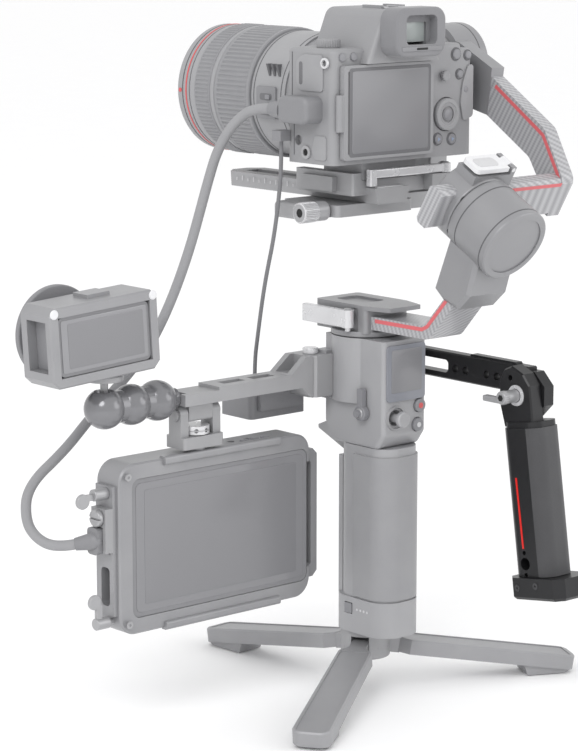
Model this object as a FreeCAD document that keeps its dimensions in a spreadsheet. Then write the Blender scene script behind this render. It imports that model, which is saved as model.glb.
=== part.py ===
"""Cinema camera rig: a mirrorless camera on a three-axis handheld gimbal that stands on a small tripod,
with a monitor, a small second camera and a receiver on its left and a sling handle on its right.

Frame: millimetres, +Z up, +Y forward (the way the lens looks), +X to the operator's right.  The origin is
on the pan axis, at the plane that the three feet stand on.
"""

import FreeCAD, Part
import math
import os

import Sketcher
from FreeCAD import Placement, Rotation, Vector

# Driving dimensions, in millimetres and degrees
SIZES = {
    # general clearances
    "moving_gap": 0.4,
    "pin_gap": 0.06,
    "shaft_radius": 6,
    # tripod
    "hub_radius": 17.4,
    "hub_low": 22,
    "hub_height": 21,
    "leg_length": 144,
    "leg_width": 26.5,
    "leg_thick": 10.5,
    "leg_tongue": 12,
    "leg_pivot_radius": 11,
    "leg_pivot_height": 30,
    "leg_slope": 9.5,
    "first_leg_angle": 93.5,
    "foot_length": 28,
    "leg_pin_radius": 1.6,
    "stud_radius": 3.05,
    # battery grip
    "grip_wide": 40,
    "grip_rear": 40,
    "grip_front": 12,
    "band_front": 16,
    "band_height": 25,
    "grip_height": 133,
    "grip_corner": 16,
    "grip_skin": 1.4,
    "shell_wall": 2.2,
    "cell_radius": 8.6,
    "cell_length": 50,
    # control body
    "body_height": 75,
    "body_rear": 38,
    "drum_radius": 25,
    "screen_wide": 35,
    "screen_high": 38.5,
    "glass_thick": 1.6,
    "button_radius": 4.7,
    "button_travel": 1,
    "stick_radius": 3,
    "trigger_wide": 14,
    "trigger_high": 16,
    "trigger_travel": 2.5,
    "rail_low": 207,
    "rail_high": 240,
    "rail_wide": 13,
    # left bracket
    "clamp_wide": 20.7,
    "clamp_front": 32,
    "clamp_back": 9,
    "arm_reach": 153,
    "arm_thick": 10,
    "arm_low": 217,
    "receiver_wide": 50,
    "receiver_deep": 33,
    "receiver_high": 18,
    # monitor and its mount
    "monitor_x": -118,
    "monitor_wide": 174,
    "monitor_high": 115,
    "monitor_low": 69,
    "monitor_front": 14,
    "monitor_deep": 24,
    "glass_wide": 146,
    "glass_high": 87,
    "mount_x": -135.5,
    "mount_y": 22,
    "hinge_high": 210,
    "yoke_wide": 34,
    "lug_wide": 20,
    "ring_radius": 9.9,
    # ball arm and second camera
    "ball_radius": 13.5,
    "ball_pitch": 21.5,
    "ball_high": 222,
    "device_wide": 86,
    "device_high": 52,
    "device_deep": 31,
    "device_lean": 3.5,
    "hood_radius": 31,
    # sling handle
    "sling_x": 47,
    "sling_thick": 9,
    "sling_low": 217,
    "sling_high": 19,
    "sling_hinge_y": -108,
    "sling_hinge_z": 218,
    "sling_disc": 15.5,
    "sling_ear": 10.5,
    "sling_grip_wide": 26,
    "sling_grip_deep": 34,
    "sling_grip_length": 105,
    "sling_base_high": 15,
    "sling_lean": 8.5,
    "bolt_radius": 3,
    # pan stage
    "pan_gap": 0.6,
    "cap_high": 22,
    "cap_wide": 40,
    "pan_arm_wide": 30,
    "pan_arm_thick": 9,
    # roll stage
    "roll_motor_y": -139.5,
    "roll_motor_z": 325,
    "roll_slope": 30,
    "roll_radius": 26,
    "roll_length": 38,
    "roll_arm_left": 36,
    "roll_arm_right": 88,
    "roll_arm_thick": 12,
    "roll_arm_high": 29,
    "roll_clamp_length": 22,
    # tilt stage
    "tilt_y": 16,
    "tilt_z": 431,
    "tilt_radius": 28,
    "tilt_length": 28,
    "tilt_inner": 76,
    "bracket_thick": 5.5,
    "slide_wide": 32,
    "slide_front": 125,
    "slide_rear": 33,
    # camera
    "camera_x": -8,
    "camera_low": 373,
    "camera_left": 65,
    "camera_right": 66,
    "camera_high": 76,
    "camera_rear": 36,
    "camera_front": 10,
    "lens_high": 412.5,
    "lens_radius": 44.5,
    "lens_front": 141,
    "zoom_ring_start": 63,
    "zoom_ring_length": 38,
    "zoom_ring_thick": 3.2,
    "filter_radius": 38.2,
    "panel_wide": 81,
    "panel_high": 62,
    "panel_thick": 4,
    # cables
    "video_cable_radius": 3.5,
    "thin_cable_radius": 1.4,
}

doc = FreeCAD.newDocument("CameraRig")
sheet = doc.addObject("Spreadsheet::Sheet", "Sizes")
for row, (alias, number) in enumerate(SIZES.items(), start=1):
    sheet.set(f"A{row}", str(number))
    sheet.setAlias(f"A{row}", alias)
doc.recompute()


class Size:
    """A length or angle that knows its spreadsheet expression and its present value."""

    def __init__(self, text, number):
        self.text = text
        self.number = float(number)

    def __add__(self, other):
        other = size(other)
        return Size(f"({self.text} + {other.text})", self.number + other.number)

    def __sub__(self, other):
        other = size(other)
        return Size(f"({self.text} - {other.text})", self.number - other.number)

    def __mul__(self, other):
        other = size(other)
        return Size(f"({self.text} * {other.text})", self.number * other.number)

    def __truediv__(self, other):
        other = size(other)
        return Size(f"({self.text} / {other.text})", self.number / other.number)

    def __radd__(self, other):
        return size(other) + self

    def __rsub__(self, other):
        return size(other) - self

    def __rmul__(self, other):
        return size(other) * self

    def __neg__(self):
        return size(0) - self


def size(value):
    """Make a Size of a plain number, and leave a Size as it is."""
    if isinstance(value, Size):
        return value
    return Size(f"({float(value)})", value)


def cosine(angle):
    return Size(f"cos({angle.text} * 1 deg)", math.cos(math.radians(angle.number)))


def sine(angle):
    return Size(f"sin({angle.text} * 1 deg)", math.sin(math.radians(angle.number)))


class SheetSizes:
    """Reads the sheet's cells by their aliases."""

    def __getattr__(self, alias):
        return Size(f"Sizes.{alias}", sheet.get(alias))


s = SheetSizes()


# Building blocks

def bind(thing, **properties):
    """Bind properties of a document object to expressions; a double underscore stands for a dot."""
    for name, value in properties.items():
        thing.setExpression(name.replace("__", "."), size(value).text)


def put(thing, x=0, y=0, z=0):
    bind(thing, Placement__Base__x=x, Placement__Base__y=y, Placement__Base__z=z)


def box(x, y, z):
    """A block between the low and high ends given for each axis."""
    block = doc.addObject("Part::Box", "Block")
    bind(block, Length=x[1] - size(x[0]), Width=y[1] - size(y[0]), Height=z[1] - size(z[0]))
    put(block, x[0], y[0], z[0])
    return block


TURNS = {
    "x": Rotation(Vector(0, 1, 0), 90),
    "y": Rotation(Vector(1, 0, 0), -90),
    "z": Rotation(),
}


def along(thing, axis, centre, start):
    """Lay a turned piece along an axis: centre holds the two other coordinates, in X, Y, Z order."""
    thing.Placement = Placement(Vector(), TURNS[axis])
    spot = list(centre)
    spot.insert("xyz".index(axis), start)
    put(thing, *spot)


def rod(axis, centre, radius, span):
    piece = doc.addObject("Part::Cylinder", "Rod")
    bind(piece, Radius=radius, Height=span[1] - size(span[0]))
    along(piece, axis, centre, span[0])
    return piece


def cone(axis, centre, radii, span):
    piece = doc.addObject("Part::Cone", "Taper")
    bind(piece, Radius1=radii[0], Radius2=radii[1], Height=span[1] - size(span[0]))
    along(piece, axis, centre, span[0])
    return piece


def ball(x, y, z, radius):
    piece = doc.addObject("Part::Sphere", "Ball")
    bind(piece, Radius=radius)
    put(piece, x, y, z)
    return piece


def cut(base, *tools):
    for tool in tools:
        result = doc.addObject("Part::Cut", "Cut")
        result.Base = base
        result.Tool = tool
        base = result
    return base


def common(base, tool):
    result = doc.addObject("Part::Common", "Common")
    result.Base = base
    result.Tool = tool
    return result


def fuse(*pieces):
    result = doc.addObject("Part::MultiFuse", "Fusion")
    result.Shapes = list(pieces)
    result.Refine = True
    return result


def group(*pieces):
    """Separate solids that make one sub-part."""
    result = doc.addObject("Part::Compound", "Group")
    result.Links = list(pieces)
    return result


def edges_of(thing, axis, test=None):
    """Numbers of the straight edges along an axis whose middle passes a test, or of all edges."""
    doc.recompute()
    chosen = []
    for number, edge in enumerate(thing.Shape.Edges, start=1):
        if axis is not None:
            if not isinstance(edge.Curve, Part.Line):
                continue
            run = edge.lastVertex().Point - edge.firstVertex().Point
            if abs(getattr(run, axis)) < 0.999 * run.Length:
                continue
        if test is None or test(edge.CenterOfMass):
            chosen.append(number)
    return chosen


def rounded(thing, radius, axis=None, test=None):
    result = doc.addObject("Part::Fillet", "Rounding")
    result.Base = thing
    reach = size(radius).number
    result.Edges = [(number, reach, reach) for number in edges_of(thing, axis, test)]
    return result


def bevelled(thing, reach, axis=None, test=None):
    result = doc.addObject("Part::Chamfer", "Bevel")
    result.Base = thing
    width = size(reach).number
    result.Edges = [(number, width, width) for number in edges_of(thing, axis, test)]
    return result


PLANES = {"xy": ("XY_Plane", "z"), "xz": ("XZ_Plane", "y"), "yz": ("YZ_Plane", "x")}


def plate(plane, points, span, corners=None):
    """Pad a polygon across a span; corners maps a point's number to its rounding radius."""
    role, normal = PLANES[plane]
    body = doc.addObject("PartDesign::Body", "Plate")
    sketch = body.newObject("Sketcher::SketchObject", "Outline")
    support = [item for item in body.Origin.OriginFeatures if item.Role == role][0]
    sketch.AttachmentSupport = [(support, "")]
    sketch.MapMode = "FlatFace"
    draw_polygon(sketch, points)
    pad = body.newObject("PartDesign::Pad", "Pad")
    pad.Profile = sketch
    pad.Reversed = plane == "xz"
    bind(pad, Length=span[1] - size(span[0]))
    for number, radius in (corners or {}).items():
        round_corner(body, normal, points[number], radius)
    put(body, **{normal: span[0]})
    return body


def draw_polygon(sketch, points):
    """Straight lines through the points, each point held by bound distances from the origin."""
    spots = [Vector(size(a).number, size(b).number, 0) for a, b in points]
    count = len(points)
    for number in range(count):
        sketch.addGeometry(Part.LineSegment(spots[number], spots[(number + 1) % count]), False)
    for number in range(count):
        sketch.addConstraint(Sketcher.Constraint("Coincident", number, 2, (number + 1) % count, 1))
    for number, point in enumerate(points):
        for kind, value in zip(("DistanceX", "DistanceY"), point):
            value = size(value)
            held = sketch.addConstraint(Sketcher.Constraint(kind, -1, 1, number, 1, value.number))
            sketch.setExpression(f"Constraints[{held}]", value.text)


def round_corner(body, normal, point, radius):
    """Round the padded edge that stands on one point of the outline."""
    doc.recompute()
    wanted = [size(value).number for value in point]
    base = body.Tip
    for number, edge in enumerate(base.Shape.Edges, start=1):
        ends = [vertex.Point for vertex in edge.Vertexes]
        if len(ends) != 2 or abs(getattr(ends[1] - ends[0], normal)) < 0.1:
            continue
        middle = [getattr(edge.CenterOfMass, axis) for axis in "xyz" if axis != normal]
        if max(abs(middle[0] - wanted[0]), abs(middle[1] - wanted[1])) < 1e-4:
            fillet = body.newObject("PartDesign::Fillet", "Corner")
            fillet.Base = (base, [f"Edge{number}"])
            bind(fillet, Radius=radius)
            body.Tip = fillet
            return


sub_parts = []


def sub_part(label, thing, at=None, axis=None, angle=None):
    """Name a finished sub-part; a piece drawn about its own pivot is turned and put in place here."""
    if at is not None:
        if axis is not None:
            thing.Placement = Placement(Vector(), Rotation(axis, size(angle).number))
        put(thing, *at)
    thing.Label = label
    sub_parts.append(thing)
    return thing


# Levels that several sub-parts share

GRIP_LOW = s.hub_low + s.hub_height
BAND_TOP = GRIP_LOW + s.band_height
BODY_LOW = GRIP_LOW + s.grip_height
BODY_TOP = BODY_LOW + s.body_height
CAP_LOW = BODY_TOP + s.pan_gap
CAP_TOP = CAP_LOW + s.cap_high
SIDE = s.grip_wide / 2


# Tripod

def leg_angles():
    return [s.first_leg_angle + 120 * turn for turn in range(3)]


def around(thing, angle, radius, z):
    """Turn a piece drawn along +X to an angle about the pan axis, its origin out at a radius."""
    thing.Placement = Placement(Vector(), Rotation(Vector(0, 0, 1), angle.number))
    put(thing, radius * cosine(angle), radius * sine(angle), z)
    return thing


def tripod_hub():
    hub = rounded(rod("z", (0, 0), s.hub_radius, (s.hub_low, GRIP_LOW)), 1.2)
    slots = []
    for angle in leg_angles():
        slot = box(
            (-(s.leg_thick / 2) - 1.2, s.hub_radius),
            (-(s.leg_tongue / 2) - s.moving_gap, s.leg_tongue / 2 + s.moving_gap),
            (s.hub_low - s.leg_pivot_height - 1, s.leg_thick / 2 + 3.2),
        )
        slots.append(around(group(slot), angle, s.leg_pivot_radius, s.leg_pivot_height))
        slots.append(leg_pin(angle, s.leg_pin_radius))
    stud = rod("z", (0, 0), s.stud_radius, (GRIP_LOW - 1, GRIP_LOW + 9))
    sub_part("tripod_hub", fuse(cut(hub, *slots), stud))


def leg_pin(angle, radius):
    """A hinge pin square to the leg; its length stays inside the round hub."""
    half = s.hub_radius * 0.7
    pin = doc.addObject("Part::Cylinder", "Pin")
    bind(pin, Radius=radius, Height=half * 2)
    turn = Rotation(Vector(0, 0, 1), angle.number).multiply(TURNS["y"])
    pin.Placement = Placement(Vector(), turn)
    put(
        pin,
        s.leg_pivot_radius * cosine(angle) + half * sine(angle),
        s.leg_pivot_radius * sine(angle) - half * cosine(angle),
        s.leg_pivot_height,
    )
    return pin


def leg_pins():
    sub_part("leg_pins", group(*[leg_pin(angle, s.leg_pin_radius) for angle in leg_angles()]))


def tripod_leg(name, angle):
    """Drawn flat about its hinge pin, then sloped down and turned to its place."""
    half, tongue, low = s.leg_width / 2, s.leg_tongue / 2, -(s.leg_thick / 2) + 0.7
    outline = [(12, -tongue), (19, 1.2 - half), (s.leg_length, -half), (s.leg_length, half),
               (19, half - 1.2), (12, tongue)]
    blade = plate("xy", outline, (low, low + s.leg_thick), {2: 7, 3: 7})
    blade = bevelled(blade, 1, test=lambda middle: middle.z > 0.9 * (s.leg_thick / 2).number)
    recess = plate("xy", [(20, 3.5 - half), (s.leg_length - 4, 3 - half), (s.leg_length - 4, half - 3),
                          (20, half - 3.5)], (low + s.leg_thick - 0.6, low + s.leg_thick + 1))
    tongue_end = rod("y", (0, 0), s.leg_thick / 2, (-tongue, tongue))
    tongue_bar = box((0, 13), (-tongue, tongue), (-(s.leg_thick / 2), s.leg_thick / 2))
    hole = rod("y", (0, 0), s.leg_pin_radius + s.pin_gap, (-tongue - 1, tongue + 1))
    leg = cut(fuse(cut(blade, recess), tongue_end, tongue_bar), hole)
    node = group(leg, leg_foot(low))
    slope = Rotation(Vector(0, 1, 0), s.leg_slope.number)
    node.Placement = Placement(Vector(), Rotation(Vector(0, 0, 1), angle.number).multiply(slope))
    put(node, s.leg_pivot_radius * cosine(angle), s.leg_pivot_radius * sine(angle), s.leg_pivot_height)
    node.Label = name
    sub_parts.append(node)


def leg_foot(low):
    """The rubber pad under the tip, cut so that it stands flat when the leg is open."""
    far = s.leg_length - 6
    near = far - s.foot_length

    def ground(reach):
        return (reach * sine(s.leg_slope) - s.leg_pivot_height) / cosine(s.leg_slope)

    outline = [(near - 4, low), (near, ground(near)), (far, ground(far)), (far + 3, low)]
    half = s.leg_width / 2 - 2.5
    return plate("xz", outline, (-half, half))


def tripod_legs():
    names = ("tripod_leg_front", "tripod_leg_left", "tripod_leg_right")
    for name, angle in zip(names, leg_angles()):
        tripod_leg(name, angle)


# Battery grip

def grip_block(inset, front, z, corner):
    """An upright block of the grip's section, drawn in by an inset on the sides and the rear."""
    block = box((inset - SIDE, SIDE - inset), (inset - s.grip_rear, front), z)
    return rounded(block, corner, "z")


def battery_grip():
    band = grip_block(size(0), s.band_front, (GRIP_LOW, BAND_TOP), s.grip_corner)
    column = grip_block(s.grip_skin, s.grip_front, (BAND_TOP - 1, BODY_LOW), s.grip_corner - s.grip_skin)
    ridge = rounded(box((-13, 13), (s.grip_front - 2, s.grip_front + 3), (BAND_TOP - 1, BODY_LOW - 11)),
                    1.5, "z", lambda middle: middle.y > s.grip_front.number)
    inset = s.grip_skin + s.shell_wall
    cavity = grip_block(inset, s.grip_front - s.shell_wall, (GRIP_LOW + 12, BODY_LOW - 2), 10)
    thread = rod("z", (0, 0), s.stud_radius + 0.12, (GRIP_LOW - 1, GRIP_LOW + 10))
    pocket = button_pocket()
    sub_part("battery_grip", cut(fuse(band, column, ridge), cavity, thread, pocket))


def grip_rubber():
    """The soft panel round the rear and sides of the column; the front strip stays bare."""
    span = (BAND_TOP + 1.5, BODY_LOW - 6)
    outside = grip_block(size(0), s.grip_front, span, s.grip_corner)
    column = grip_block(s.grip_skin, s.grip_front + 1, (BAND_TOP, BODY_LOW), s.grip_corner - s.grip_skin)
    front = box((-SIDE - 1, SIDE + 1), (-8, s.grip_front + 1), (BAND_TOP, BODY_LOW))
    sub_part("grip_rubber", cut(outside, column, front))


def battery_cells():
    cells = []
    middle = (s.grip_front - s.grip_rear) / 2
    for side in (-1, 1):
        for level in range(2):
            low = GRIP_LOW + 12.3 + (s.cell_length + 0.3) * level
            spot = (0, middle + (s.cell_radius + 0.4) * side)
            cells.append(rod("z", spot, s.cell_radius, (low, low + s.cell_length)))
    sub_part("battery_cells", group(*cells))


BUTTON_Y = -4
BUTTON_HALF = 3.6


def button_pocket():
    level = GRIP_LOW + 17
    reach = BUTTON_HALF + s.moving_gap
    return box((-SIDE - 1, 3 - SIDE), (BUTTON_Y - reach, BUTTON_Y + reach), (level - reach, level + reach))


def battery_button():
    level = GRIP_LOW + 17
    block = box((-SIDE - 0.5, 1.7 - SIDE), (BUTTON_Y - BUTTON_HALF, BUTTON_Y + BUTTON_HALF),
                (level - BUTTON_HALF, level + BUTTON_HALF))
    sub_part("battery_button", rounded(block, 1.2, "x"))


# Control body

RECORD = (13.3, BODY_LOW + 28.2)
MODE = (11.6, BODY_LOW + 15)
STICK = (-9, BODY_LOW + 22)
LEVER = (-19.5, BODY_LOW + 24.5)
TRIGGER_MIDDLE = BODY_LOW + 20
REAR = -s.body_rear


def control_body():
    outline = [(REAR, BODY_TOP), (REAR, BODY_LOW + 10), (REAR + 7, BODY_LOW), (s.grip_front, BODY_LOW),
               (20, BODY_LOW + 14), (20, BODY_TOP)]
    shell = rounded(plate("yz", outline, (-SIDE, SIDE), {1: 4, 2: 5}), 3, "z",
                    lambda middle: middle.y < 0)
    guard = plate("yz", [(s.grip_front, BODY_LOW - 8), (40, BODY_LOW + 3.5), (40, BODY_LOW + 6),
                         (26, BODY_LOW + 12), (26, BODY_LOW + 34), (12, BODY_LOW + 46)], (-9, 9), {1: 1.5})
    drum = rod("z", (0, 0), s.drum_radius, (BODY_LOW + 30, BODY_TOP))
    solid = fuse(shell, guard, drum, nato_rail(-1), nato_rail(1))
    sub_part("control_body", cut(solid, *body_pockets()))


def nato_rail(side):
    """An upright dovetail rail on the left (-1) or right (1) flank; its root runs into the drum."""
    middle = (s.clamp_back + s.clamp_front) / 2 - 2.5
    half = s.rail_wide / 2
    outline = [(side * 5, middle - half + 1.5), (side * 24, middle - half + 1.5), (side * 27.5, middle - half),
               (side * 27.5, middle + half), (side * 24, middle + half - 1.5), (side * 5, middle + half - 1.5)]
    return plate("xy", outline, (s.rail_low, s.rail_high))


def drum_room():
    """The drum's shape with a little air, for the clamps beside it."""
    return rod("z", (0, 0), s.drum_radius + 0.2, (BODY_LOW + 20, BODY_TOP))


def body_pockets():
    """Room behind each control for its travel."""
    room = s.button_radius + s.moving_gap
    depth = REAR + 5
    return [
        rod("y", RECORD, room, (REAR - 1, depth)),
        rod("y", MODE, room, (REAR - 1, depth)),
        rod("y", STICK, 5.6, (REAR - 1, depth + 1)),
        box((-(s.trigger_wide / 2) - s.moving_gap, s.trigger_wide / 2 + s.moving_gap), (21.5, 27),
            (TRIGGER_MIDDLE - s.trigger_high / 2 - s.moving_gap,
             TRIGGER_MIDDLE + s.trigger_high / 2 + s.moving_gap)),
        rod("x", LEVER, 2.9 + s.pin_gap, (-SIDE - 1, 6 - SIDE)),
        rod("z", (0, 0), s.shaft_radius + s.pin_gap, (BODY_TOP - 7, BODY_TOP + 1)),
    ]


def touch_screen():
    low = BODY_TOP - 3 - s.screen_high
    glass = box((-(s.screen_wide / 2), s.screen_wide / 2), (REAR - s.glass_thick, REAR),
                (low, low + s.screen_high))
    sub_part("touch_screen", rounded(glass, 2.5, "y"))


def push_button(label, spot):
    """A round cap that stands proud of the face and can sink by its travel."""
    cap = rod("y", spot, s.button_radius, (REAR - 2.2, REAR + 3.4))
    sub_part(label, rounded(cap, 0.8, test=lambda middle: middle.y < REAR.number - 2))


def joystick():
    stem = rod("y", STICK, s.stick_radius, (REAR - 7, REAR + 4.5))
    cap = rounded(rod("y", STICK, 5.4, (REAR - 9.5, REAR - 6)), 1)
    sub_part("joystick", fuse(stem, cap))


def trigger():
    """The trigger's front face is hollowed for a fingertip."""
    half = s.trigger_high / 2
    low, high = TRIGGER_MIDDLE - half, TRIGGER_MIDDLE + half
    outline = [(24.5, low), (29.5, low), (28.3, TRIGGER_MIDDLE), (30.5, high), (24.5, high)]
    sub_part("trigger", plate("yz", outline, (-(s.trigger_wide / 2), s.trigger_wide / 2)))


def side_lever():
    """A short T lever on the left flank; it turns on a pin in the body."""
    pin = rod("x", LEVER, 2.9, (-SIDE - 1, 5.4 - SIDE))
    hub = rounded(rod("x", LEVER, 5.4, (-SIDE - 5.4, -SIDE - s.moving_gap)), 0.8)
    y, z = LEVER
    blade = box((-SIDE - 5, -SIDE - 1.2), (y - 2.6, y + 2.6), (z, z + 17))
    nose = rod("x", (y, z), 2.6, (-SIDE - 8.5, -SIDE - 5))
    sub_part("side_lever", fuse(pin, hub, rounded(blade, 1, "x", lambda m: m.z > z.number + 10), nose))


# Left bracket

ARM_BACK = size(10)
ARM_END = -s.arm_reach
CLAMP_LEFT = -(s.clamp_wide + 21.3)
CLAMP_LOW = s.rail_low + 2
CLAMP_TOP = s.rail_high - 2


def bracket_arm():
    """The rail clamp, its sloped web and the slotted arm, cut from one bar."""
    arm_top = s.arm_low + s.arm_thick
    jaw = bevelled(box((CLAMP_LEFT, -21.3), (s.clamp_back, s.clamp_front), (CLAMP_LOW, CLAMP_TOP)), 4, "z",
                   lambda middle: middle.x < -30 and middle.y < 20)
    bar = box((ARM_END, CLAMP_LEFT + 1), (ARM_BACK, s.clamp_front), (s.arm_low, arm_top))
    web = plate("xz", [(CLAMP_LEFT + 1, CLAMP_TOP), (CLAMP_LEFT - 5, CLAMP_TOP), (CLAMP_LEFT - 20, arm_top - 1),
                       (CLAMP_LEFT - 10, s.arm_low + 1), (CLAMP_LEFT + 1, CLAMP_LOW)], (ARM_BACK, s.clamp_front))
    hollow = box((CLAMP_LEFT - 18, CLAMP_LEFT - 2), (ARM_BACK + 5, s.clamp_front - 5), (arm_top, CLAMP_TOP + 1))
    slots = [box((x, x + 19), (ARM_BACK + 7, s.clamp_front - 7), (arm_top - 3, arm_top + 1)) for x in (-88, -114)]
    step = box((ARM_END - 1, ARM_END + 29), (ARM_BACK - 1, s.clamp_front + 1), (arm_top - 2.2, arm_top + 1))
    recess = box((ARM_END - 1, ARM_END + 5), (ARM_BACK + 5, s.clamp_front - 5), (s.arm_low + 1.5, arm_top + 1))
    screw_hole = rod("z", CLAMP_SCREW, 3, (CLAMP_LOW + 8, CLAMP_TOP + 1))
    mount_holes = [rod("z", (s.mount_x + dx, s.mount_y), 1.6, (s.arm_low - 1, s.arm_low + 6)) for dx in (-6, 6)]
    solid = cut(fuse(jaw, bar, web), hollow, *slots, step, recess, screw_hole, *mount_holes, nato_rail(-1), drum_room())
    sub_part("bracket_arm", solid)


CLAMP_SCREW = (-34, 20.5)


def bracket_screws():
    """The clamp's thumb screw and the two screws that hold the monitor mount under the arm."""
    thumb = fuse(rod("z", CLAMP_SCREW, 3, (CLAMP_LOW + 8, CLAMP_TOP)),
                 rounded(rod("z", CLAMP_SCREW, 5.5, (CLAMP_TOP, CLAMP_TOP + 4)), 0.6))
    screws = [rod("z", (s.mount_x + dx, s.mount_y), 1.6, (s.arm_low - 3.4, s.arm_low + 6)) for dx in (-6, 6)]
    sub_part("bracket_screws", group(thumb, *screws))


RECEIVER_BACK = s.clamp_front + 3.5
RECEIVER_LOW = size(194)
RECEIVER_RIGHT = size(-25)


def receiver():
    """A wireless follow-focus receiver on a plate behind the arm, with its gland for the thin cable."""
    left = RECEIVER_RIGHT - s.receiver_wide
    top = RECEIVER_LOW + s.receiver_high
    case = rounded(box((left, RECEIVER_RIGHT), (RECEIVER_BACK, RECEIVER_BACK + s.receiver_deep),
                       (RECEIVER_LOW, top)), 3.5, "z")
    case = rounded(case, 0.8, test=lambda middle: abs(middle.z - top.number) < 0.01)
    disc = rounded(rod("z", (left + 18, RECEIVER_BACK + 19), 10, (top - 1, top + 3)), 1)
    knob = rounded(rod("x", (RECEIVER_BACK + 8, top - 5), 4.5, (RECEIVER_RIGHT - 1, RECEIVER_RIGHT + 9)), 1.2)
    gland = rod("z", THIN_CABLE_END[:2], 2.6, (top - 1, THIN_CABLE_END[2]))
    foot = box((left + 6, RECEIVER_RIGHT - 6), (s.clamp_front, RECEIVER_BACK + 1), (RECEIVER_LOW + 6, top + 6))
    sub_part("receiver_module", fuse(case, disc, knob, gland, foot))


# Monitor mount and monitor

CAGE_TOP = s.monitor_low + s.monitor_high
HINGE = (s.mount_y, s.hinge_high)


def mount_block():
    """The lug under the arm that the yoke hangs on."""
    half = s.lug_wide / 2
    low = s.hinge_high - 5
    lug = rounded(box((s.mount_x - half, s.mount_x + half), (s.mount_y - 6.6, s.mount_y + 6.6),
                      (low, s.arm_low)), 2, "x", lambda middle: middle.z < low.number + 1)
    bore = rod("x", HINGE, s.bolt_radius + s.pin_gap, (s.mount_x - half - 1, s.mount_x + half + 1))
    holes = [rod("z", (s.mount_x + dx, s.mount_y), 1.6, (s.arm_low - 3.4, s.arm_low + 1)) for dx in (-6, 6)]
    sub_part("mount_block", cut(lug, bore, *holes))


def mount_yoke():
    """Two ears on the hinge bolt, joined by the foot that the monitor turns on."""
    outer, inner = s.yoke_wide / 2, s.lug_wide / 2 + s.moving_gap
    foot_low = CAGE_TOP + 3.3
    pieces = [rounded(box((s.mount_x - outer, s.mount_x + outer), (s.mount_y - 10, s.mount_y + 10),
                          (foot_low, foot_low + 8)), 2, "z")]
    for side in (-1, 1):
        near, far = s.mount_x + side * inner, s.mount_x + side * outer
        low, high = (near, far) if side > 0 else (far, near)
        pieces.append(box((low, high), (s.mount_y - EAR, s.mount_y + EAR), (foot_low, s.hinge_high)))
        pieces.append(rod("x", HINGE, EAR, (low, high)))
    bolt = rod("x", HINGE, s.bolt_radius, (s.mount_x - outer - 1, s.mount_x + outer + 1))
    heads = [rounded(rod("x", HINGE, 4.8, (s.mount_x + side * (outer + 0.8) - 0.8,
                                           s.mount_x + side * (outer + 0.8) + 0.8)), 0.4) for side in (-1, 1)]
    bore = rod("z", (s.mount_x, s.mount_y), SWIVEL_RADIUS + s.moving_gap, (foot_low - 1, foot_low + 9))
    sub_part("mount_yoke", fuse(cut(fuse(*pieces), bore), bolt, *heads))


EAR = s.arm_low - s.hinge_high - 0.7
SWIVEL_RADIUS = size(3.2)


def lock_ring():
    """The silver ring and its screw, which clamps the monitor to the yoke."""
    low = CAGE_TOP + 3.3 + 8 + s.moving_gap
    ring = rounded(rod("z", (s.mount_x, s.mount_y), s.ring_radius, (low, low + 6)), 0.6)
    holes = []
    for turn in range(8):
        hole = rod("x", (0, 0), 1.5, (s.ring_radius - 4, s.ring_radius + 2))
        hole.Placement = Placement(Vector(), Rotation(Vector(0, 0, 1), 45 * turn + 12).multiply(TURNS["x"]))
        reach = s.ring_radius - 4
        spot = math.radians(45 * turn + 12)
        put(hole, s.mount_x + reach * math.cos(spot), s.mount_y + reach * math.sin(spot), low + 3)
        holes.append(hole)
    screw = rod("z", (s.mount_x, s.mount_y), SWIVEL_RADIUS, (CAGE_TOP - 5, low + 1))
    sub_part("lock_ring", fuse(cut(ring, *holes), screw))


CAGE_LEFT = s.monitor_x - s.monitor_wide / 2
CAGE_RIGHT = s.monitor_x + s.monitor_wide / 2
CAGE_FRONT = s.monitor_front
CAGE_BACK = s.monitor_front + s.monitor_deep
SCREEN_LOW = s.monitor_low + (s.monitor_high - s.glass_high) / 2
SCREEN_LEFT = s.monitor_x - s.glass_wide / 2
SCREEN_RIGHT = s.monitor_x + s.glass_wide / 2


def monitor_cage():
    """A frame round the monitor, with a swivel boss, bumper rails and a slotted handle rail on the right."""
    frame = rounded(box((CAGE_LEFT, CAGE_RIGHT - 8), (CAGE_FRONT + 1, CAGE_BACK),
                        (s.monitor_low, CAGE_TOP)), 13, "y")
    frame = bevelled(frame, 1.2, test=lambda middle: middle.y < CAGE_FRONT.number + 1.01)
    rail = bevelled(box((CAGE_RIGHT - 22, CAGE_RIGHT), (CAGE_FRONT + 3, CAGE_BACK - 3),
                        (s.monitor_low + 12, CAGE_TOP - 12)), 4, "y", lambda m: m.x > CAGE_RIGHT.number - 1)
    slot = rounded(box((CAGE_RIGHT - 11.5, CAGE_RIGHT - 5.5), (CAGE_FRONT - 1, CAGE_BACK + 1),
                       (s.monitor_low + 20, CAGE_TOP - 20)), 2.5, "y")
    boss = rod("z", (s.mount_x, s.mount_y), 7.5, (CAGE_TOP - 1, CAGE_TOP + 3))
    rails = [rounded(box((CAGE_LEFT + 37, CAGE_RIGHT - 37), (CAGE_FRONT - 1.5, CAGE_FRONT + 5),
                         (z, z + 6)), 2, "x") for z in (CAGE_TOP - 4.6, s.monitor_low - 1.4)]
    side_block = box((CAGE_LEFT - 3, CAGE_LEFT + 5), (CAGE_FRONT + 4, CAGE_BACK - 2),
                     (s.monitor_low + 14, CAGE_TOP - 14))
    solid = fuse(frame, rail, boss, side_block, *rails)
    sub_part("monitor_cage", cut(solid, slot, *cage_openings()))


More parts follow.
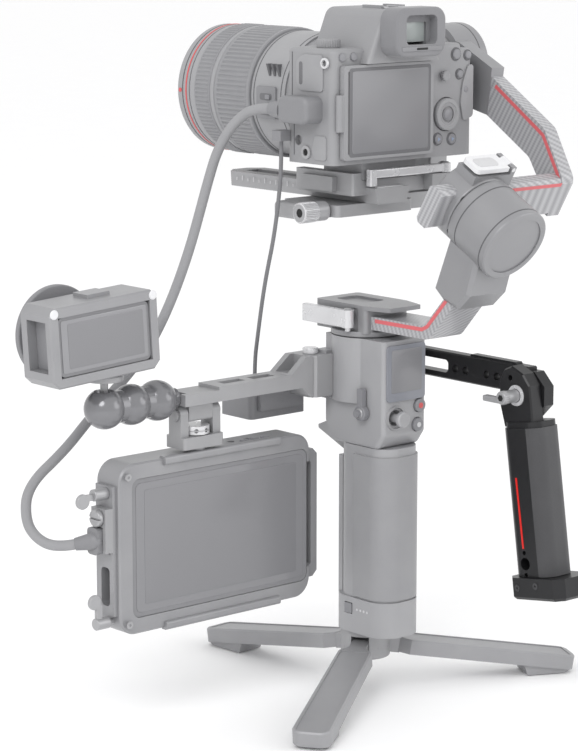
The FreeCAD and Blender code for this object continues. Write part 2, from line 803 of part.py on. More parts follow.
def cage_openings():
    gap = 0.3
    well = rounded(box((SCREEN_LEFT - 3 - gap, SCREEN_RIGHT + 3 + gap), (CAGE_FRONT - 3, CAGE_BACK - 3),
                       (SCREEN_LOW - 3 - gap, SCREEN_LOW + s.glass_high + 3 + gap)), 6, "y")
    back = rounded(box((SCREEN_LEFT + 12, SCREEN_RIGHT - 12), (CAGE_BACK - 4, CAGE_BACK + 1),
                       (SCREEN_LOW + 10, SCREEN_LOW + s.glass_high - 10)), 6, "y")
    window = rounded(box((CAGE_LEFT - 4, SCREEN_LEFT - 2), (CAGE_FRONT + 8, CAGE_BACK - 7),
                         (s.monitor_low + 20, s.monitor_low + 46)), 3, "x")
    plug_way = box((CAGE_LEFT - 4, SCREEN_LEFT - 2), (CAGE_FRONT + 7, CAGE_BACK - 5),
                   (PLUG_LEVEL - 9.5, PLUG_LEVEL + 9.5))
    thread = rod("z", (s.mount_x, s.mount_y), SWIVEL_RADIUS + s.moving_gap, (CAGE_TOP - 5.5, CAGE_TOP + 4))
    accessory = [rod("z", (x, CAGE_BACK - 11), 2.6, (CAGE_TOP - 7, CAGE_TOP + 1)) for x in (-100, -86)]
    screws = [rod("x", spot, radius, (CAGE_LEFT - 4, CAGE_LEFT + 4)) for spot, radius in side_screws()]
    return [well, back, window, plug_way, thread, *accessory, *screws]


PLUG_LEVEL = size(134)


def side_screws():
    """Middle (y, z) and shank radius of the screws on the cage's left side."""
    y = CAGE_FRONT + 11
    return [((y, CAGE_TOP - 19), 2), ((y, PLUG_LEVEL + 15.5), 2.4), ((y - 1, s.monitor_low + 9.5), 2)]


def cage_screws():
    """Two wing screws and a slotted screw on the cage's left side."""
    screws = []
    for number, ((y, z), radius) in enumerate(side_screws()):
        shank = rod("x", (y, z), radius, (CAGE_LEFT - 4, CAGE_LEFT + 4))
        if number == 1:
            shank = rod("x", (y, z), radius, (CAGE_LEFT - 9, CAGE_LEFT + 4))
            head = rounded(rod("x", (y, z), 5.8, (CAGE_LEFT - 13, CAGE_LEFT - 9)), 1.2)
            slot = box((CAGE_LEFT - 14, CAGE_LEFT - 11.6), (y - 8, y + 8), (z - 0.7, z + 0.7))
            screws.append(cut(fuse(shank, head), slot))
            continue
        barrel = rounded(rod("x", (y, z), 4, (CAGE_LEFT - 14, CAGE_LEFT - 3)), 0.8)
        lift = -1 if number == 0 else 1
        arm = box((CAGE_LEFT - 13, CAGE_LEFT - 9), (y - 1.5, y + 1.5), (z - 1.5, z + 1.5) if lift < 0 else (z, z + 13))
        reach = (CAGE_LEFT - 22, z - 3) if lift < 0 else (CAGE_LEFT - 14, z + 15)
        paddle = rounded(rod("y", reach, 5, (y - 1.5, y + 1.5)), 0.8)
        bar = box((CAGE_LEFT - 22, CAGE_LEFT - 12), (y - 1.5, y + 1.5), (z - 3, z + 1))
        wing = [paddle, bar] if lift < 0 else [paddle, arm]
        screws.append(fuse(shank, barrel, *wing))
    sub_part("cage_screws", group(*screws))


def monitor_body():
    case = rounded(box((SCREEN_LEFT - 3, SCREEN_RIGHT + 3), (CAGE_FRONT + 1.5, CAGE_BACK - 3),
                       (SCREEN_LOW - 3, SCREEN_LOW + s.glass_high + 3)), 5.5, "y")
    bulge = rounded(box((SCREEN_LEFT + 13, SCREEN_RIGHT - 13), (CAGE_BACK - 4, CAGE_BACK + 3),
                        (SCREEN_LOW + 11, SCREEN_LOW + s.glass_high - 11)), 5, "y")
    port = box((SCREEN_LEFT - 4, SCREEN_LEFT + 5), (CAGE_FRONT + 10, CAGE_FRONT + 16),
               (PLUG_LEVEL - 7.5, PLUG_LEVEL + 7.5))
    recess = rounded(box((SCREEN_LEFT, SCREEN_RIGHT), (CAGE_FRONT - 1, CAGE_FRONT + 3),
                         (SCREEN_LOW, SCREEN_LOW + s.glass_high)), 4, "y")
    sub_part("monitor_body", cut(fuse(case, bulge), port, recess))


def monitor_glass():
    glass = rounded(box((SCREEN_LEFT, SCREEN_RIGHT), (CAGE_FRONT + 1.2, CAGE_FRONT + 3),
                        (SCREEN_LOW, SCREEN_LOW + s.glass_high)), 4, "y")
    sub_part("monitor_glass", glass)


def hdmi_clamp():
    """The small block on the cage's side that holds the plug in."""
    y, z = CAGE_FRONT + 4, PLUG_LEVEL + 9.3
    block = box((CAGE_LEFT - 9, CAGE_LEFT - 3), (y, y + 15), (z, z + 12.5))
    jaw = box((CAGE_LEFT - 9, CAGE_LEFT - 3), (y, y + 3), (z - 17, z + 1))
    (_, _), (spot, radius), _ = side_screws()
    sub_part("hdmi_clamp", cut(fuse(block, jaw), rod("x", spot, radius, (CAGE_LEFT - 10, CAGE_LEFT))))


# Ball arm and second camera

ARM_Y = size(21)
LAST_BALL = ARM_END - s.ball_radius - 1.8
FIRST_BALL = LAST_BALL - s.ball_pitch * 2
STUD_TOP = s.ball_high + s.ball_radius + 9


def ball_arm():
    """Three lobes in a row, screwed to the end of the bracket; the last one holds the ball stud."""
    lobes = [ball(LAST_BALL - s.ball_pitch * step, ARM_Y, s.ball_high, s.ball_radius) for step in range(3)]
    for lobe in lobes:
        lobe.Placement = Placement(lobe.Placement.Base, Rotation(Vector(0, 1, 0), 90))
    waist = rod("x", (ARM_Y, s.ball_high), s.ball_radius * 0.8, (FIRST_BALL + 3, LAST_BALL - 3))
    collar = rod("x", (ARM_Y, s.ball_high), 6.5, (LAST_BALL, ARM_END - s.moving_gap))
    mouth = cone("z", (FIRST_BALL, ARM_Y), (4, 8), (s.ball_high + 3, s.ball_high + s.ball_radius + 2))
    socket = fuse(ball(FIRST_BALL, ARM_Y, s.ball_high, STUD_BALL + 0.3), mouth)
    sub_part("ball_arm", cut(fuse(*lobes, waist, collar), socket))


STUD_BALL = size(7.5)


def arm_stud():
    """The ball stud and its ribbed lock wheel under the second camera."""
    knob = ball(FIRST_BALL, ARM_Y, s.ball_high, STUD_BALL)
    stem = rod("z", (FIRST_BALL, ARM_Y), 2.6, (s.ball_high, STUD_TOP + 6))
    wheel = rod("z", (FIRST_BALL, ARM_Y), 12.5, (STUD_TOP - 4, STUD_TOP))
    sub_part("arm_stud", fuse(knob, stem, rounded(wheel, 0.8)))


DEVICE_FRONT = ARM_Y - s.device_deep / 2


def leaned(label, thing):
    """Pieces of the second camera are drawn upright about the stud's top, then leaned."""
    sub_part(label, thing, (FIRST_BALL - 8, ARM_Y, STUD_TOP + 0.1), Vector(0, 1, 0), -s.device_lean)


def device_frame(inset, y, low, high):
    half = s.device_wide / 2 - inset
    return box((-half, half), y, (low, high))


def device_cage():
    """The frame's front face is chamfered; its left side is open over the battery door."""
    deep = s.device_deep / 2
    frame = bevelled(device_frame(size(0), (-deep, deep), size(0), s.device_high), 5, "y")
    frame = bevelled(frame, 1, test=lambda m: m.y < 0.5 - deep.number)
    well = device_frame(size(6.5), (-deep - 1, deep - 6), size(6.5), s.device_high - 6.5)
    back = device_frame(size(12), (deep - 7, deep + 1), size(12), s.device_high - 12)
    side = box((-(s.device_wide / 2) - 1, 8 - s.device_wide / 2), (5 - deep, deep - 6), (10, s.device_high - 9))
    stud = rod("z", (8, 0), 3.1, (-1, 6.4))
    shoe = box((-6, 12), (-6, 9), (s.device_high - 0.5, s.device_high + 2.5))
    leaned("device_cage", cut(fuse(frame, shoe), well, back, side, stud))


def device_body():
    deep = s.device_deep / 2
    case = rounded(device_frame(size(6.8), (1.5 - deep, deep - 6.2), size(6.8), s.device_high - 6.8), 4, "y")
    barrel = rounded(rod("y", (-6, s.device_high / 2), 13.5, (deep - 7, deep + 12)), 1)
    leaned("device_body", fuse(case, barrel))


def lens_hood():
    """A round shade on the second camera's lens."""
    deep = s.device_deep / 2
    centre = (-6, s.device_high / 2)
    disc = rod("y", centre, s.hood_radius, (deep + 12.5, deep + 17))
    cup = rod("y", centre, 16.5, (deep + 4, deep + 13))
    bore = rod("y", centre, 13.6, (deep + 3, deep + 18))
    flare = cone("y", centre, (13.6, 20), (deep + 13, deep + 17.5))
    leaned("lens_hood", cut(fuse(rounded(disc, 1.2), cup), bore, flare))


# Sling handle

SLING_HINGE = (s.sling_hinge_y, s.sling_hinge_z)
SLING_RIGHT = s.sling_x + s.sling_thick


def sling_arm():
    """The clamp on the right rail and the slotted arm that runs rearward to the hinge disc."""
    jaw = box((21.3, s.sling_x + 1), (s.clamp_back, s.clamp_front), (CLAMP_LOW, CLAMP_TOP))
    jaw = bevelled(jaw, 4, "z", lambda middle: middle.x > 30 and middle.y > 20)
    top = s.sling_low + s.sling_high
    bar = box((s.sling_x, SLING_RIGHT), (s.sling_hinge_y, s.clamp_front), (s.sling_low, top))
    bar = bevelled(bar, 1, "y")
    ledge = bevelled(box((s.sling_x + 1.5, SLING_RIGHT - 1.5), (-96, -52), (top - 1, top + 1.4)), 1, "x",
                     lambda middle: middle.z > top.number + 1)
    disc = plate("yz", octagon(SLING_HINGE, s.sling_disc), (s.sling_x, SLING_RIGHT))
    slot = rounded(box((s.sling_x - 1, SLING_RIGHT + 1), (-32, 6), (s.sling_low + 4.5, top - 5.5)), 3, "x")
    holes = [rod("x", (y, s.sling_low + 8.5), 2.75, (s.sling_x - 1, SLING_RIGHT + 1)) for y in (-39, -49, -69, -79)]
    bolt = rod("x", SLING_HINGE, s.bolt_radius + s.moving_gap, (s.sling_x - 1, SLING_RIGHT + 1))
    sub_part("sling_arm", cut(fuse(jaw, bar, ledge, disc), nato_rail(1), drum_room(), slot, *holes, bolt))


def octagon(centre, radius):
    """Eight corners round a centre, their flats square to the axes."""
    corners = []
    for turn in range(8):
        angle = math.radians(22.5 + 45 * turn)
        reach = radius / math.cos(math.radians(22.5))
        corners.append((centre[0] + reach * math.cos(angle), centre[1] + reach * math.sin(angle)))
    return corners


EAR_LEFT = s.sling_x - s.moving_gap - s.sling_ear
GRIP_TOP = -(s.sling_disc * 1.0824 + 1.22)
GRIP_END = GRIP_TOP - s.sling_grip_length
GRIP_X = (EAR_LEFT + SLING_RIGHT) / 2 + 0.5


def on_sling(label, thing):
    """Pieces of the handle are drawn hanging straight down from the hinge, then leaned back."""
    sub_part(label, thing, (0, s.sling_hinge_y, s.sling_hinge_z), Vector(1, 0, 0), -s.sling_lean)


def sling_section(inset, z, front=0):
    """A block of the grip's oval section between two levels."""
    half_x, half_y = s.sling_grip_wide / 2 - inset, s.sling_grip_deep / 2 - inset
    block = box((GRIP_X - half_x, GRIP_X + half_x), (-half_y - 1, half_y - 1 + front), z)
    return rounded(block, 9 - size(inset), "z")


def sling_front(inset, z):
    """The bare metal strip: the front of the section, drawn as far back as the rubber starts."""
    half_x, half_y = s.sling_grip_wide / 2, s.sling_grip_deep / 2
    return box((GRIP_X - half_x - 1, GRIP_X + half_x + 1), (-8 + size(inset), half_y + 1), z)


def sling_grip():
    """The ear, the spine with its bare strip, and the flared base, machined from one bar."""
    ear = plate("yz", [(14, GRIP_TOP - 3), (17, -3), (14, 12), (9, 18), (2, 20), (-8, 14), (-13, 6), (-13, GRIP_TOP - 3)],
                (EAR_LEFT, EAR_LEFT + s.sling_ear))
    ear = bevelled(ear, 1, test=lambda middle: middle.x < EAR_LEFT.number + 0.1 and middle.z > GRIP_TOP.number)
    neck = sling_section(size(1), (GRIP_TOP - 4, GRIP_TOP))
    core = sling_section(size(2.2), (GRIP_END, GRIP_TOP - 1))
    strip = common(sling_section(size(0), (GRIP_END, GRIP_TOP - 4)), sling_front(0, (GRIP_END - 1, GRIP_TOP)))
    base = bevelled(box((GRIP_X - 17, GRIP_X + 17), (-30, 19), (GRIP_END - s.sling_base_high, GRIP_END)), 6, "z")
    base = bevelled(base, 2, test=lambda m: m.z < (GRIP_END - s.sling_base_high).number + 0.1)
    bore = rod("x", (0, 0), s.bolt_radius + s.moving_gap, (EAR_LEFT - 1, EAR_LEFT + s.sling_ear + 1))
    pin_hole = rod("x", (4, 12), 1.9, (EAR_LEFT - 1, EAR_LEFT + 5))
    left = GRIP_X - s.sling_grip_wide / 2
    threads = [rod("x", (THREAD_Y, GRIP_END + 9 + dz), radius, (left - 5, left + 9))
               for dz, radius in ((0, 4.25), (7.5, 1.5), (-7.5, 1.5))]
    solid = cut(fuse(ear, neck, core, strip, base), bore, pin_hole, *threads)
    on_sling("sling_grip", solid)


THREAD_Y = 3.5


def sling_rubber():
    """The rubber shell round the rear and right of the grip."""
    span = (GRIP_END + 0.4, GRIP_TOP - 4.2)
    outside = sling_section(size(0), span)
    core = sling_section(size(2.2), (GRIP_END, GRIP_TOP))
    on_sling("sling_rubber", cut(outside, core, sling_front(0, (GRIP_END, GRIP_TOP))))


def sling_lever():
    """The hinge bolt, its ratchet barrel and the lever's blade."""
    y, z = SLING_HINGE
    bolt = rod("x", SLING_HINGE, s.bolt_radius, (EAR_LEFT - 2, SLING_RIGHT - 0.5))
    barrel = rounded(rod("x", SLING_HINGE, 4.4, (EAR_LEFT - 15, EAR_LEFT - s.moving_gap)), 0.8)
    blade = rounded(box((EAR_LEFT - 14.5, EAR_LEFT - 11), (y, y + 17), (z - 4, z)), 1.2, "x",
                    lambda middle: middle.y > y.number + 10)
    sub_part("sling_lever", fuse(bolt, barrel, blade))


# Pan stage

def pan_cap():
    """The turntable on the pan motor, its clamp block and the cover plate with a recess."""
    turntable = rounded(rod("z", (0, 0), s.drum_radius, (CAP_LOW, CAP_LOW + 4)), 0.8)
    half = s.cap_wide / 2
    block = rounded(box((-half, half), (-20, 31), (CAP_LOW + 3, CAP_TOP)), 3, "z")
    tongue = plate("xy", [(-half, -18), (-14, -38), (14, -38), (half, -18)], (CAP_TOP - 3, CAP_TOP))
    recess = rounded(box((-10, 10), (-8, 22), (CAP_TOP - 1.6, CAP_TOP + 1)), 4, "z")
    shaft = rod("z", (0, 0), s.shaft_radius, (BODY_TOP - 6, CAP_LOW + 1))
    solid = cut(fuse(block, turntable, tongue, shaft), recess, pan_arm_prism(), *lever_seat())
    sub_part("pan_cap", solid)


LEVER_PIN = (-25.5, -8)


def lever_seat():
    """A notch in the block's left side for the lock lever's root."""
    return [rod("z", LEVER_PIN, 7, (CAP_LOW + 3.9, CAP_TOP - 2.2))]


PAN_ARM_LOW = CAP_LOW + 5.6


def pan_arm_prism():
    """The carbon arm: level out of the cap, then up and back into the roll motor's sleeve."""
    low = PAN_ARM_LOW
    top = low + s.pan_arm_thick
    outline = [(12, low), (-76, low), (-110, low + 38), (-103.5, low + 44), (-71.5, top), (12, top)]
    return plate("yz", outline, (-(s.pan_arm_wide / 2), s.pan_arm_wide / 2), {1: 8, 4: 5})


def pan_arm():
    sub_part("pan_arm", pan_arm_prism())


def pan_lever():
    """The silver lock lever along the cap's left side; it swings out about an upright pin."""
    x, y = LEVER_PIN
    z = (CAP_LOW + 7, CAP_TOP - 3)
    blade = rounded(box((x - 4.2, x + 1.2), (y, 35), z), 2, "z", lambda middle: middle.y > 20)
    barrel = rod("z", LEVER_PIN, 4.2, z)
    pin = rod("z", LEVER_PIN, 1.9, (CAP_LOW + 4.3, CAP_TOP - 2.6))
    sub_part("pan_lever", fuse(rounded(blade, 0.8, "y"), barrel, pin))


# Roll stage, drawn about the centre of the motor's rear cap with the motor's axis along +Y

def on_roll(label, thing):
    sub_part(label, thing, (0, s.roll_motor_y, s.roll_motor_z), Vector(1, 0, 0), s.roll_slope)


def roll_point(y, z):
    """A point of the Y-Z plane in the roll motor's own frame."""
    dy, dz = size(y) - s.roll_motor_y, size(z) - s.roll_motor_z
    turn = s.roll_slope
    return dy * cosine(turn) + dz * sine(turn), dz * cosine(turn) - dy * sine(turn)


def roll_motor():
    """The stator can with its recessed rear cap, and the sleeve that takes the pan arm."""
    can = rounded(rod("y", (0, 0), s.roll_radius, (0, s.roll_length)), 1.6)
    cap = rod("y", (0, 0), s.roll_radius - 5, (-1, 0.9))
    sleeve = plate("yz", [roll_point(-91, PAN_ARM_LOW + 29), roll_point(-83, PAN_ARM_LOW + 36),
                          roll_point(-98, 330), roll_point(-124, 316), roll_point(-116, PAN_ARM_LOW + 34),
                          roll_point(-105, PAN_ARM_LOW + 24)],
                   (-(s.pan_arm_wide / 2) - 3.5, s.pan_arm_wide / 2 + 3.5))
    sleeve = bevelled(sleeve, 2.5, test=lambda middle: abs(middle.x) > 17)
    room = cut_room_for_pan_arm()
    bore = rod("y", (0, 0), s.shaft_radius + s.pin_gap, (s.roll_length - 7, s.roll_length + 1))
    on_roll("roll_motor", cut(fuse(can, sleeve), cap, room, bore, rotor_room()))


def rotor_room():
    """Room in front of the stator for the turning clamp."""
    return rod("y", (0, 0), s.roll_radius + 2, (s.roll_length, s.roll_length + 30))


def cut_room_for_pan_arm():
    """The pan arm's shape in the motor's frame."""
    low = PAN_ARM_LOW
    top = low + s.pan_arm_thick
    outline = [roll_point(-71.5, top), roll_point(-76, low), roll_point(-110, low + 38),
               roll_point(-103.5, low + 44)]
    return plate("yz", outline, (-(s.pan_arm_wide / 2), s.pan_arm_wide / 2))


CLAMP_START = s.roll_length + s.moving_gap
ARM_CENTRE = CLAMP_START + s.roll_clamp_length / 2
LATCH_LEVEL = s.roll_radius + 4.3


def roll_clamp():
    """The rotor and the clamp that holds the cross arm."""
    drum = rounded(rod("y", (0, 0), s.roll_radius - 0.5, (CLAMP_START, CLAMP_START + s.roll_clamp_length)), 1.4)
    top = box((-15, 20.5), (CLAMP_START + 2, CLAMP_START + s.roll_clamp_length - 2),
              (s.roll_radius - 9, s.roll_radius + 1))
    lugs = [box((16.5, 20.5), (CLAMP_START + y, CLAMP_START + y + 4), (s.roll_radius - 3, LATCH_LEVEL + 1.9))
            for y in (2, 15)]
    shaft = rod("y", (0, 0), s.shaft_radius, (CLAMP_START - 6, CLAMP_START + 1))
    on_roll("roll_clamp", cut(fuse(drum, top, *lugs, shaft), cross_arm_tube(), hinge_hole(1.6 + s.pin_gap)))


def hinge_hole(radius):
    return rod("y", (18.5, LATCH_LEVEL), radius, (CLAMP_START, CLAMP_START + 21))


def cross_arm_tube():
    """The cross arm's flat tube, square to the motor's axis."""
    half, high = s.roll_arm_thick / 2, s.roll_arm_high / 2
    block = box((-s.roll_arm_left, s.roll_arm_right), (ARM_CENTRE - half, ARM_CENTRE + half), (-high, high))
    return bevelled(block, 2.5, "x")


def roll_arm():
    """The cross arm and the side arm that rises forward to the tilt motor, as one carbon tube."""
    half, high = s.roll_arm_thick / 2, s.roll_arm_high / 2
    outer, inner = s.roll_arm_right, s.roll_arm_right - s.roll_arm_thick + 1
    outline = [
        (ARM_CENTRE - half, -high),
        (ARM_CENTRE + half, -high),
        roll_point(-85, 360),
        roll_point(-77, 373),
        TILT_END[1],
        TILT_END[0],
        roll_point(-91, 393),
        (ARM_CENTRE - half, high),
    ]
    side = plate("yz", outline, (inner, outer), {2: 6, 3: 10, 6: 12, 7: 8})
    on_roll("roll_arm", fuse(cross_arm_tube(), side))


TILT_END = (roll_point(-38, 427), roll_point(-33, 401))


def roll_lever():
    """The white lock plate over the clamp; it lifts about a pin between two lugs."""
    z = LATCH_LEVEL
    blade = box((-14, 15), (CLAMP_START + 3, CLAMP_START + 19), (z - 1.6, z + 1.6))
    blade = rounded(blade, 3, "z", lambda middle: middle.x < 0)
    knuckle = rod("y", (18.5, z), 2.8, (CLAMP_START + 6.4, CLAMP_START + 14.6))
    link = box((14, 18), (CLAMP_START + 6.4, CLAMP_START + 14.6), (z - 1.6, z + 1.6))
    pin = rod("y", (18.5, z), 1.6, (CLAMP_START + 2, CLAMP_START + 19))
    on_roll("roll_lever", fuse(blade, knuckle, link, pin))


# Tilt stage

TILT = (s.tilt_y, s.tilt_z)


def tilt_motor():
    """The stator can and the sleeve that takes the end of the side arm."""
    outer = s.tilt_inner + s.tilt_length
    can = rounded(rod("x", TILT, s.tilt_radius, (s.tilt_inner, outer)), 2, test=lambda m: m.x > outer.number - 1)
    cap = rod("x", TILT, s.tilt_radius - 5, (outer - 0.8, outer + 1))
    y, z = TILT
    sleeve = plate("yz", [(-42, 431), (-10, z + 16), (y, z + 22), (y, z - 26), (-2, z - 24), (-37, 399)],
                   (s.tilt_inner, s.roll_arm_right + 1.5), {})
    sleeve = bevelled(sleeve, 1.5, test=lambda middle: middle.x > s.roll_arm_right.number and middle.y < 0)
    bore = rod("x", TILT, s.shaft_radius + s.pin_gap, (s.tilt_inner - 1, s.tilt_inner + 7))
    sub_part("tilt_motor", cut(fuse(can, sleeve), cap, tilt_room(), bore))


def tilt_room():
    """Room for the arm's end, straight in the Y-Z plane."""
    inner = s.roll_arm_right - s.roll_arm_thick + 1
    return plate("yz", [(-91, 393), (-38, 427), (-33, 401), (-77, 373)], (inner, s.roll_arm_right))


BRACKET_RIGHT = s.tilt_inner - s.moving_gap
BRACKET_LEFT = BRACKET_RIGHT - s.bracket_thick - 2.4
CROSS_LOW = s.camera_low - 40
CROSS_TOP = s.camera_low - 29
SLIDE_TOP = CROSS_TOP + 11


def camera_bracket():
    """The rotor disc, the upright plate and the crossbar under the camera."""
    y, z = TILT
    disc = rod("x", TILT, s.tilt_radius - 5, (BRACKET_LEFT + s.bracket_thick - 1, BRACKET_RIGHT))
    upright = plate("yz", [(y - 13, CROSS_LOW), (y + 15, CROSS_LOW), (y + 15, z + 10), (y + 8, z + 18),
                           (y - 8, z + 18), (y - 13, z + 10)], (BRACKET_LEFT, BRACKET_LEFT + s.bracket_thick))
    block = rounded(box((BRACKET_LEFT - 6, BRACKET_LEFT + 11), (y - 13, y + 15), (CROSS_LOW, s.camera_low - 3)),
                    1.5, "z")
    bar = rounded(box((-58, BRACKET_LEFT + 2), (y - 12, y + 14), (CROSS_LOW, CROSS_TOP)), 3, "y",
                  lambda middle: middle.x < 0)
    base = rounded(box((-46, 24), (-20, y + 20), (CROSS_LOW + 3, CROSS_TOP)), 4, "z")
    knob_bore = rod("x", KNOB, 3 + s.pin_gap, (-60, 10))
    screws = [rod("z", (x, y), 1.6, (CROSS_LOW - 1.2, CROSS_LOW + 3)) for x in (50, 60)]
    shaft = rod("x", TILT, s.shaft_radius, (BRACKET_RIGHT - 1, BRACKET_RIGHT + 6))
    solid = cut(fuse(upright, disc, block, bar, base), knob_bore)
    sub_part("camera_bracket", fuse(solid, shaft, *screws))


KNOB = (-8, CROSS_LOW + 7)


def balance_knob():
    """The balance knob on the left, with its silver end ring, and its screw into the base."""
    shank = rod("x", KNOB, 3, (-52, 8))
    grip = rounded(rod("x", KNOB, 6.6, (-69, -47)), 1)
    socket = rod("x", KNOB, 4.2, (-70, -65))
    sub_part("balance_knob", cut(fuse(shank, grip), socket))


def slide_plate():
    """The long dovetail plate and the clamp that takes the camera's own plate."""
    left = s.camera_x - s.slide_wide / 2
    right = s.camera_x + s.slide_wide / 2
    low = CROSS_TOP + 0.3
    dovetail = [(left + 3, low), (right - 3, low), (right, SLIDE_TOP), (left, SLIDE_TOP)]
    nose = [(left - 1, -s.slide_rear), (right + 1, -s.slide_rear), (right + 1, s.slide_front - 9),
            (right - 9, s.slide_front), (left + 9, s.slide_front), (left - 1, s.slide_front - 9)]
    bar = common(plate("xz", dovetail, (-s.slide_rear, s.slide_front)),
                 plate("xy", nose, (low - 1, SLIDE_TOP + 1)))
    clamp = rounded(box((-36, 30), (-24, 34), (SLIDE_TOP - 5, SLIDE_TOP + 10)), 2, "z")
    jaw = box((-40, -30), (-8, 24), (SLIDE_TOP - 3, SLIDE_TOP + 7))
    way = box((-28, 22), (-25, 35), (SLIDE_TOP + 5, SLIDE_TOP + 11))
    groove = box((s.camera_x - 6, s.camera_x + 6), (40, s.slide_front - 12), (SLIDE_TOP - 1.5, SLIDE_TOP + 1))
    pivot = rod("z", LEVER_PIVOT, 2, (SLIDE_TOP - 1, SLIDE_TOP + 13.5))
    foot = box((30, 50), (-32, -18), (SLIDE_TOP - 5, SLIDE_TOP + 6))
    heel = box((24, 32), (-24, -18), (SLIDE_TOP - 5, SLIDE_TOP + 6))
    sub_part("slide_plate", cut(fuse(bar, clamp, jaw, foot, heel, pivot), way, groove))


LEVER_PIVOT = (45, -28)


def plate_lever():
    """The silver lever behind the clamp, with a turned-down tip."""
    x, y = LEVER_PIVOT
    low = SLIDE_TOP + 6.4
    eye = rod("z", LEVER_PIVOT, 4.5, (low, low + 6))
    arm = rounded(box((-24, x), (y - 2.6, y + 1.6), (low, low + 6)), 1, "x")
    tip = rounded(box((-26, -20), (y - 3.2, y + 2.2), (low - 5, low + 6)), 1.2, "z")
    sub_part("plate_lever", cut(fuse(eye, arm, tip), rod("z", LEVER_PIVOT, 2 + s.pin_gap, (low - 1, low + 7))))


# Camera

CAMERA_TOP = s.camera_low + s.camera_high
BACK = -s.camera_rear
LENS_AXIS = (s.camera_x, s.lens_high)


def camera_body():
    """The body, its grip, the viewfinder hump, the lens mount and the plate screwed under it."""
    case = rounded(box((-s.camera_left, s.camera_right - 12), (BACK, s.camera_front), (s.camera_low, CAMERA_TOP)),
                   5, "z")
    case = rounded(case, 3, "x", lambda middle: middle.z > CAMERA_TOP.number - 1)
    hand = rounded(box((s.camera_right - 27, s.camera_right), (BACK, s.camera_front + 22),
                       (s.camera_low, CAMERA_TOP - 4)), 9, "z")
    hand = rounded(hand, 3, test=lambda middle: middle.z > CAMERA_TOP.number - 5)
    x = s.camera_x
    hump = plate("xz", [(x - 33, CAMERA_TOP - 10), (x - 18, CAMERA_TOP + 25), (x + 18, CAMERA_TOP + 25),
                        (x + 33, CAMERA_TOP - 10)], (BACK - 8, s.camera_front + 4.5), {1: 8, 2: 8})
    hump = rounded(hump, 3, "x", lambda middle: middle.z > CAMERA_TOP.number + 20)
    mount = rod("y", LENS_AXIS, 34, (s.camera_front - 1, s.camera_front + 5))
    shoe = [box((x + side * 9.3 - 1.6, x + side * 9.3 + 1.6), (-32, -14), (CAMERA_TOP + 24, CAMERA_TOP + 27))
            for side in (-1, 1)]
    foot = box((-27.7, 21.7), (-24, s.camera_front + 4), (SLIDE_TOP + 5.3, s.camera_low + 0.1))
    solid = fuse(case, hand, hump, mount, *shoe, foot)
    sub_part("camera_body", cut(solid, *camera_rooms()))


def camera_rooms():
    """Recesses for the dials, the eyepiece, the ports and the screen's hinge."""
    x = s.camera_x
    return [
        rod("y", QUICK_DIAL, 11.6, (BACK - 1, BACK + 2.6)),
        rod("z", MODE_DIAL, 8.4, (CAMERA_TOP - 6.5, CAMERA_TOP + 20)),
        box((x - 11, x + 11), (BACK - 10, BACK - 4), (CAMERA_TOP + 1, CAMERA_TOP + 17)),
        box((-s.camera_left - 1, 2.6 - s.camera_left), (-22, -6), (s.camera_low + 50, s.camera_low + 68)),
        rod("x", (-2, s.camera_low + 15), 3.4, (-s.camera_left - 1, 4 - s.camera_left)),
        box((-s.camera_left - 1, 4 - s.camera_left), (-21, -8), (PORT_LEVEL - 4, PORT_LEVEL + 4)),
        rod("z", PANEL_HINGE, 3, (PANEL_MIDDLE - 13, PANEL_MIDDLE + 13)),
    ]


QUICK_DIAL = (38, s.camera_low + 28.5)
MODE_DIAL = (41, -16)
PORT_LEVEL = s.camera_low + 36
PANEL_LOW = s.camera_low + 3.4
PANEL_MIDDLE = PANEL_LOW + s.panel_high / 2
PANEL_HINGE = (-61.6, BACK - 2.6)


def quick_dial():
    wheel = rounded(rod("y", QUICK_DIAL, 11, (BACK - 2.2, BACK + 2.2)), 0.9)
    groove = cut(rod("y", QUICK_DIAL, 5.6, (BACK - 3, BACK - 1.4)), rod("y", QUICK_DIAL, 4.4, (BACK - 4, BACK)))
    sub_part("quick_dial", cut(wheel, groove))


def mode_dial():
    wheel = rounded(rod("z", MODE_DIAL, 8, (CAMERA_TOP - 6.1, CAMERA_TOP + 8)), 0.9)
    sub_part("mode_dial", wheel)


def eyecup():
    """The rubber eyecup round the viewfinder window."""
    x, rear = s.camera_x, BACK - 8
    low, high = CAMERA_TOP - 6, CAMERA_TOP + 26.5
    cup = rounded(box((x - 22.5, x + 22.5), (rear - 16, rear), (low, high)), 9, "y")
    cup = rounded(cup, 2, test=lambda middle: middle.y < rear.number - 15.9)
    window = rounded(box((x - 14, x + 14), (rear - 17, rear - 9), (low + 8, high - 5)), 4, "y")
    eyepiece = box((x - 10.5, x + 10.5), (rear - 10, rear + 1), (CAMERA_TOP + 1.5, CAMERA_TOP + 16.5))
    sub_part("eyecup", cut(cup, window, eyepiece))


def lcd_panel():
    """The turning screen: a panel and the knuckle it swings on."""
    left = -59
    face = box((left, left + s.panel_wide), (BACK - 0.5 - s.panel_thick, BACK - 0.5),
               (PANEL_LOW, PANEL_LOW + s.panel_high))
    face = rounded(face, 2, "y")
    knuckle = rod("z", PANEL_HINGE, 2.3, (PANEL_MIDDLE - 12, PANEL_MIDDLE + 12))
    link = box((-61.6, left + 3), (BACK - 4.4, BACK - 0.9), (PANEL_MIDDLE - 12, PANEL_MIDDLE + 12))
    screen = box((left + 3.5, left + s.panel_wide - 3), (BACK - 1 - s.panel_thick, BACK + 0.2 - s.panel_thick),
                 (PANEL_LOW + 4, PANEL_LOW + s.panel_high - 4))
    sub_part("lcd_panel", cut(fuse(face, knuckle, link), screen))


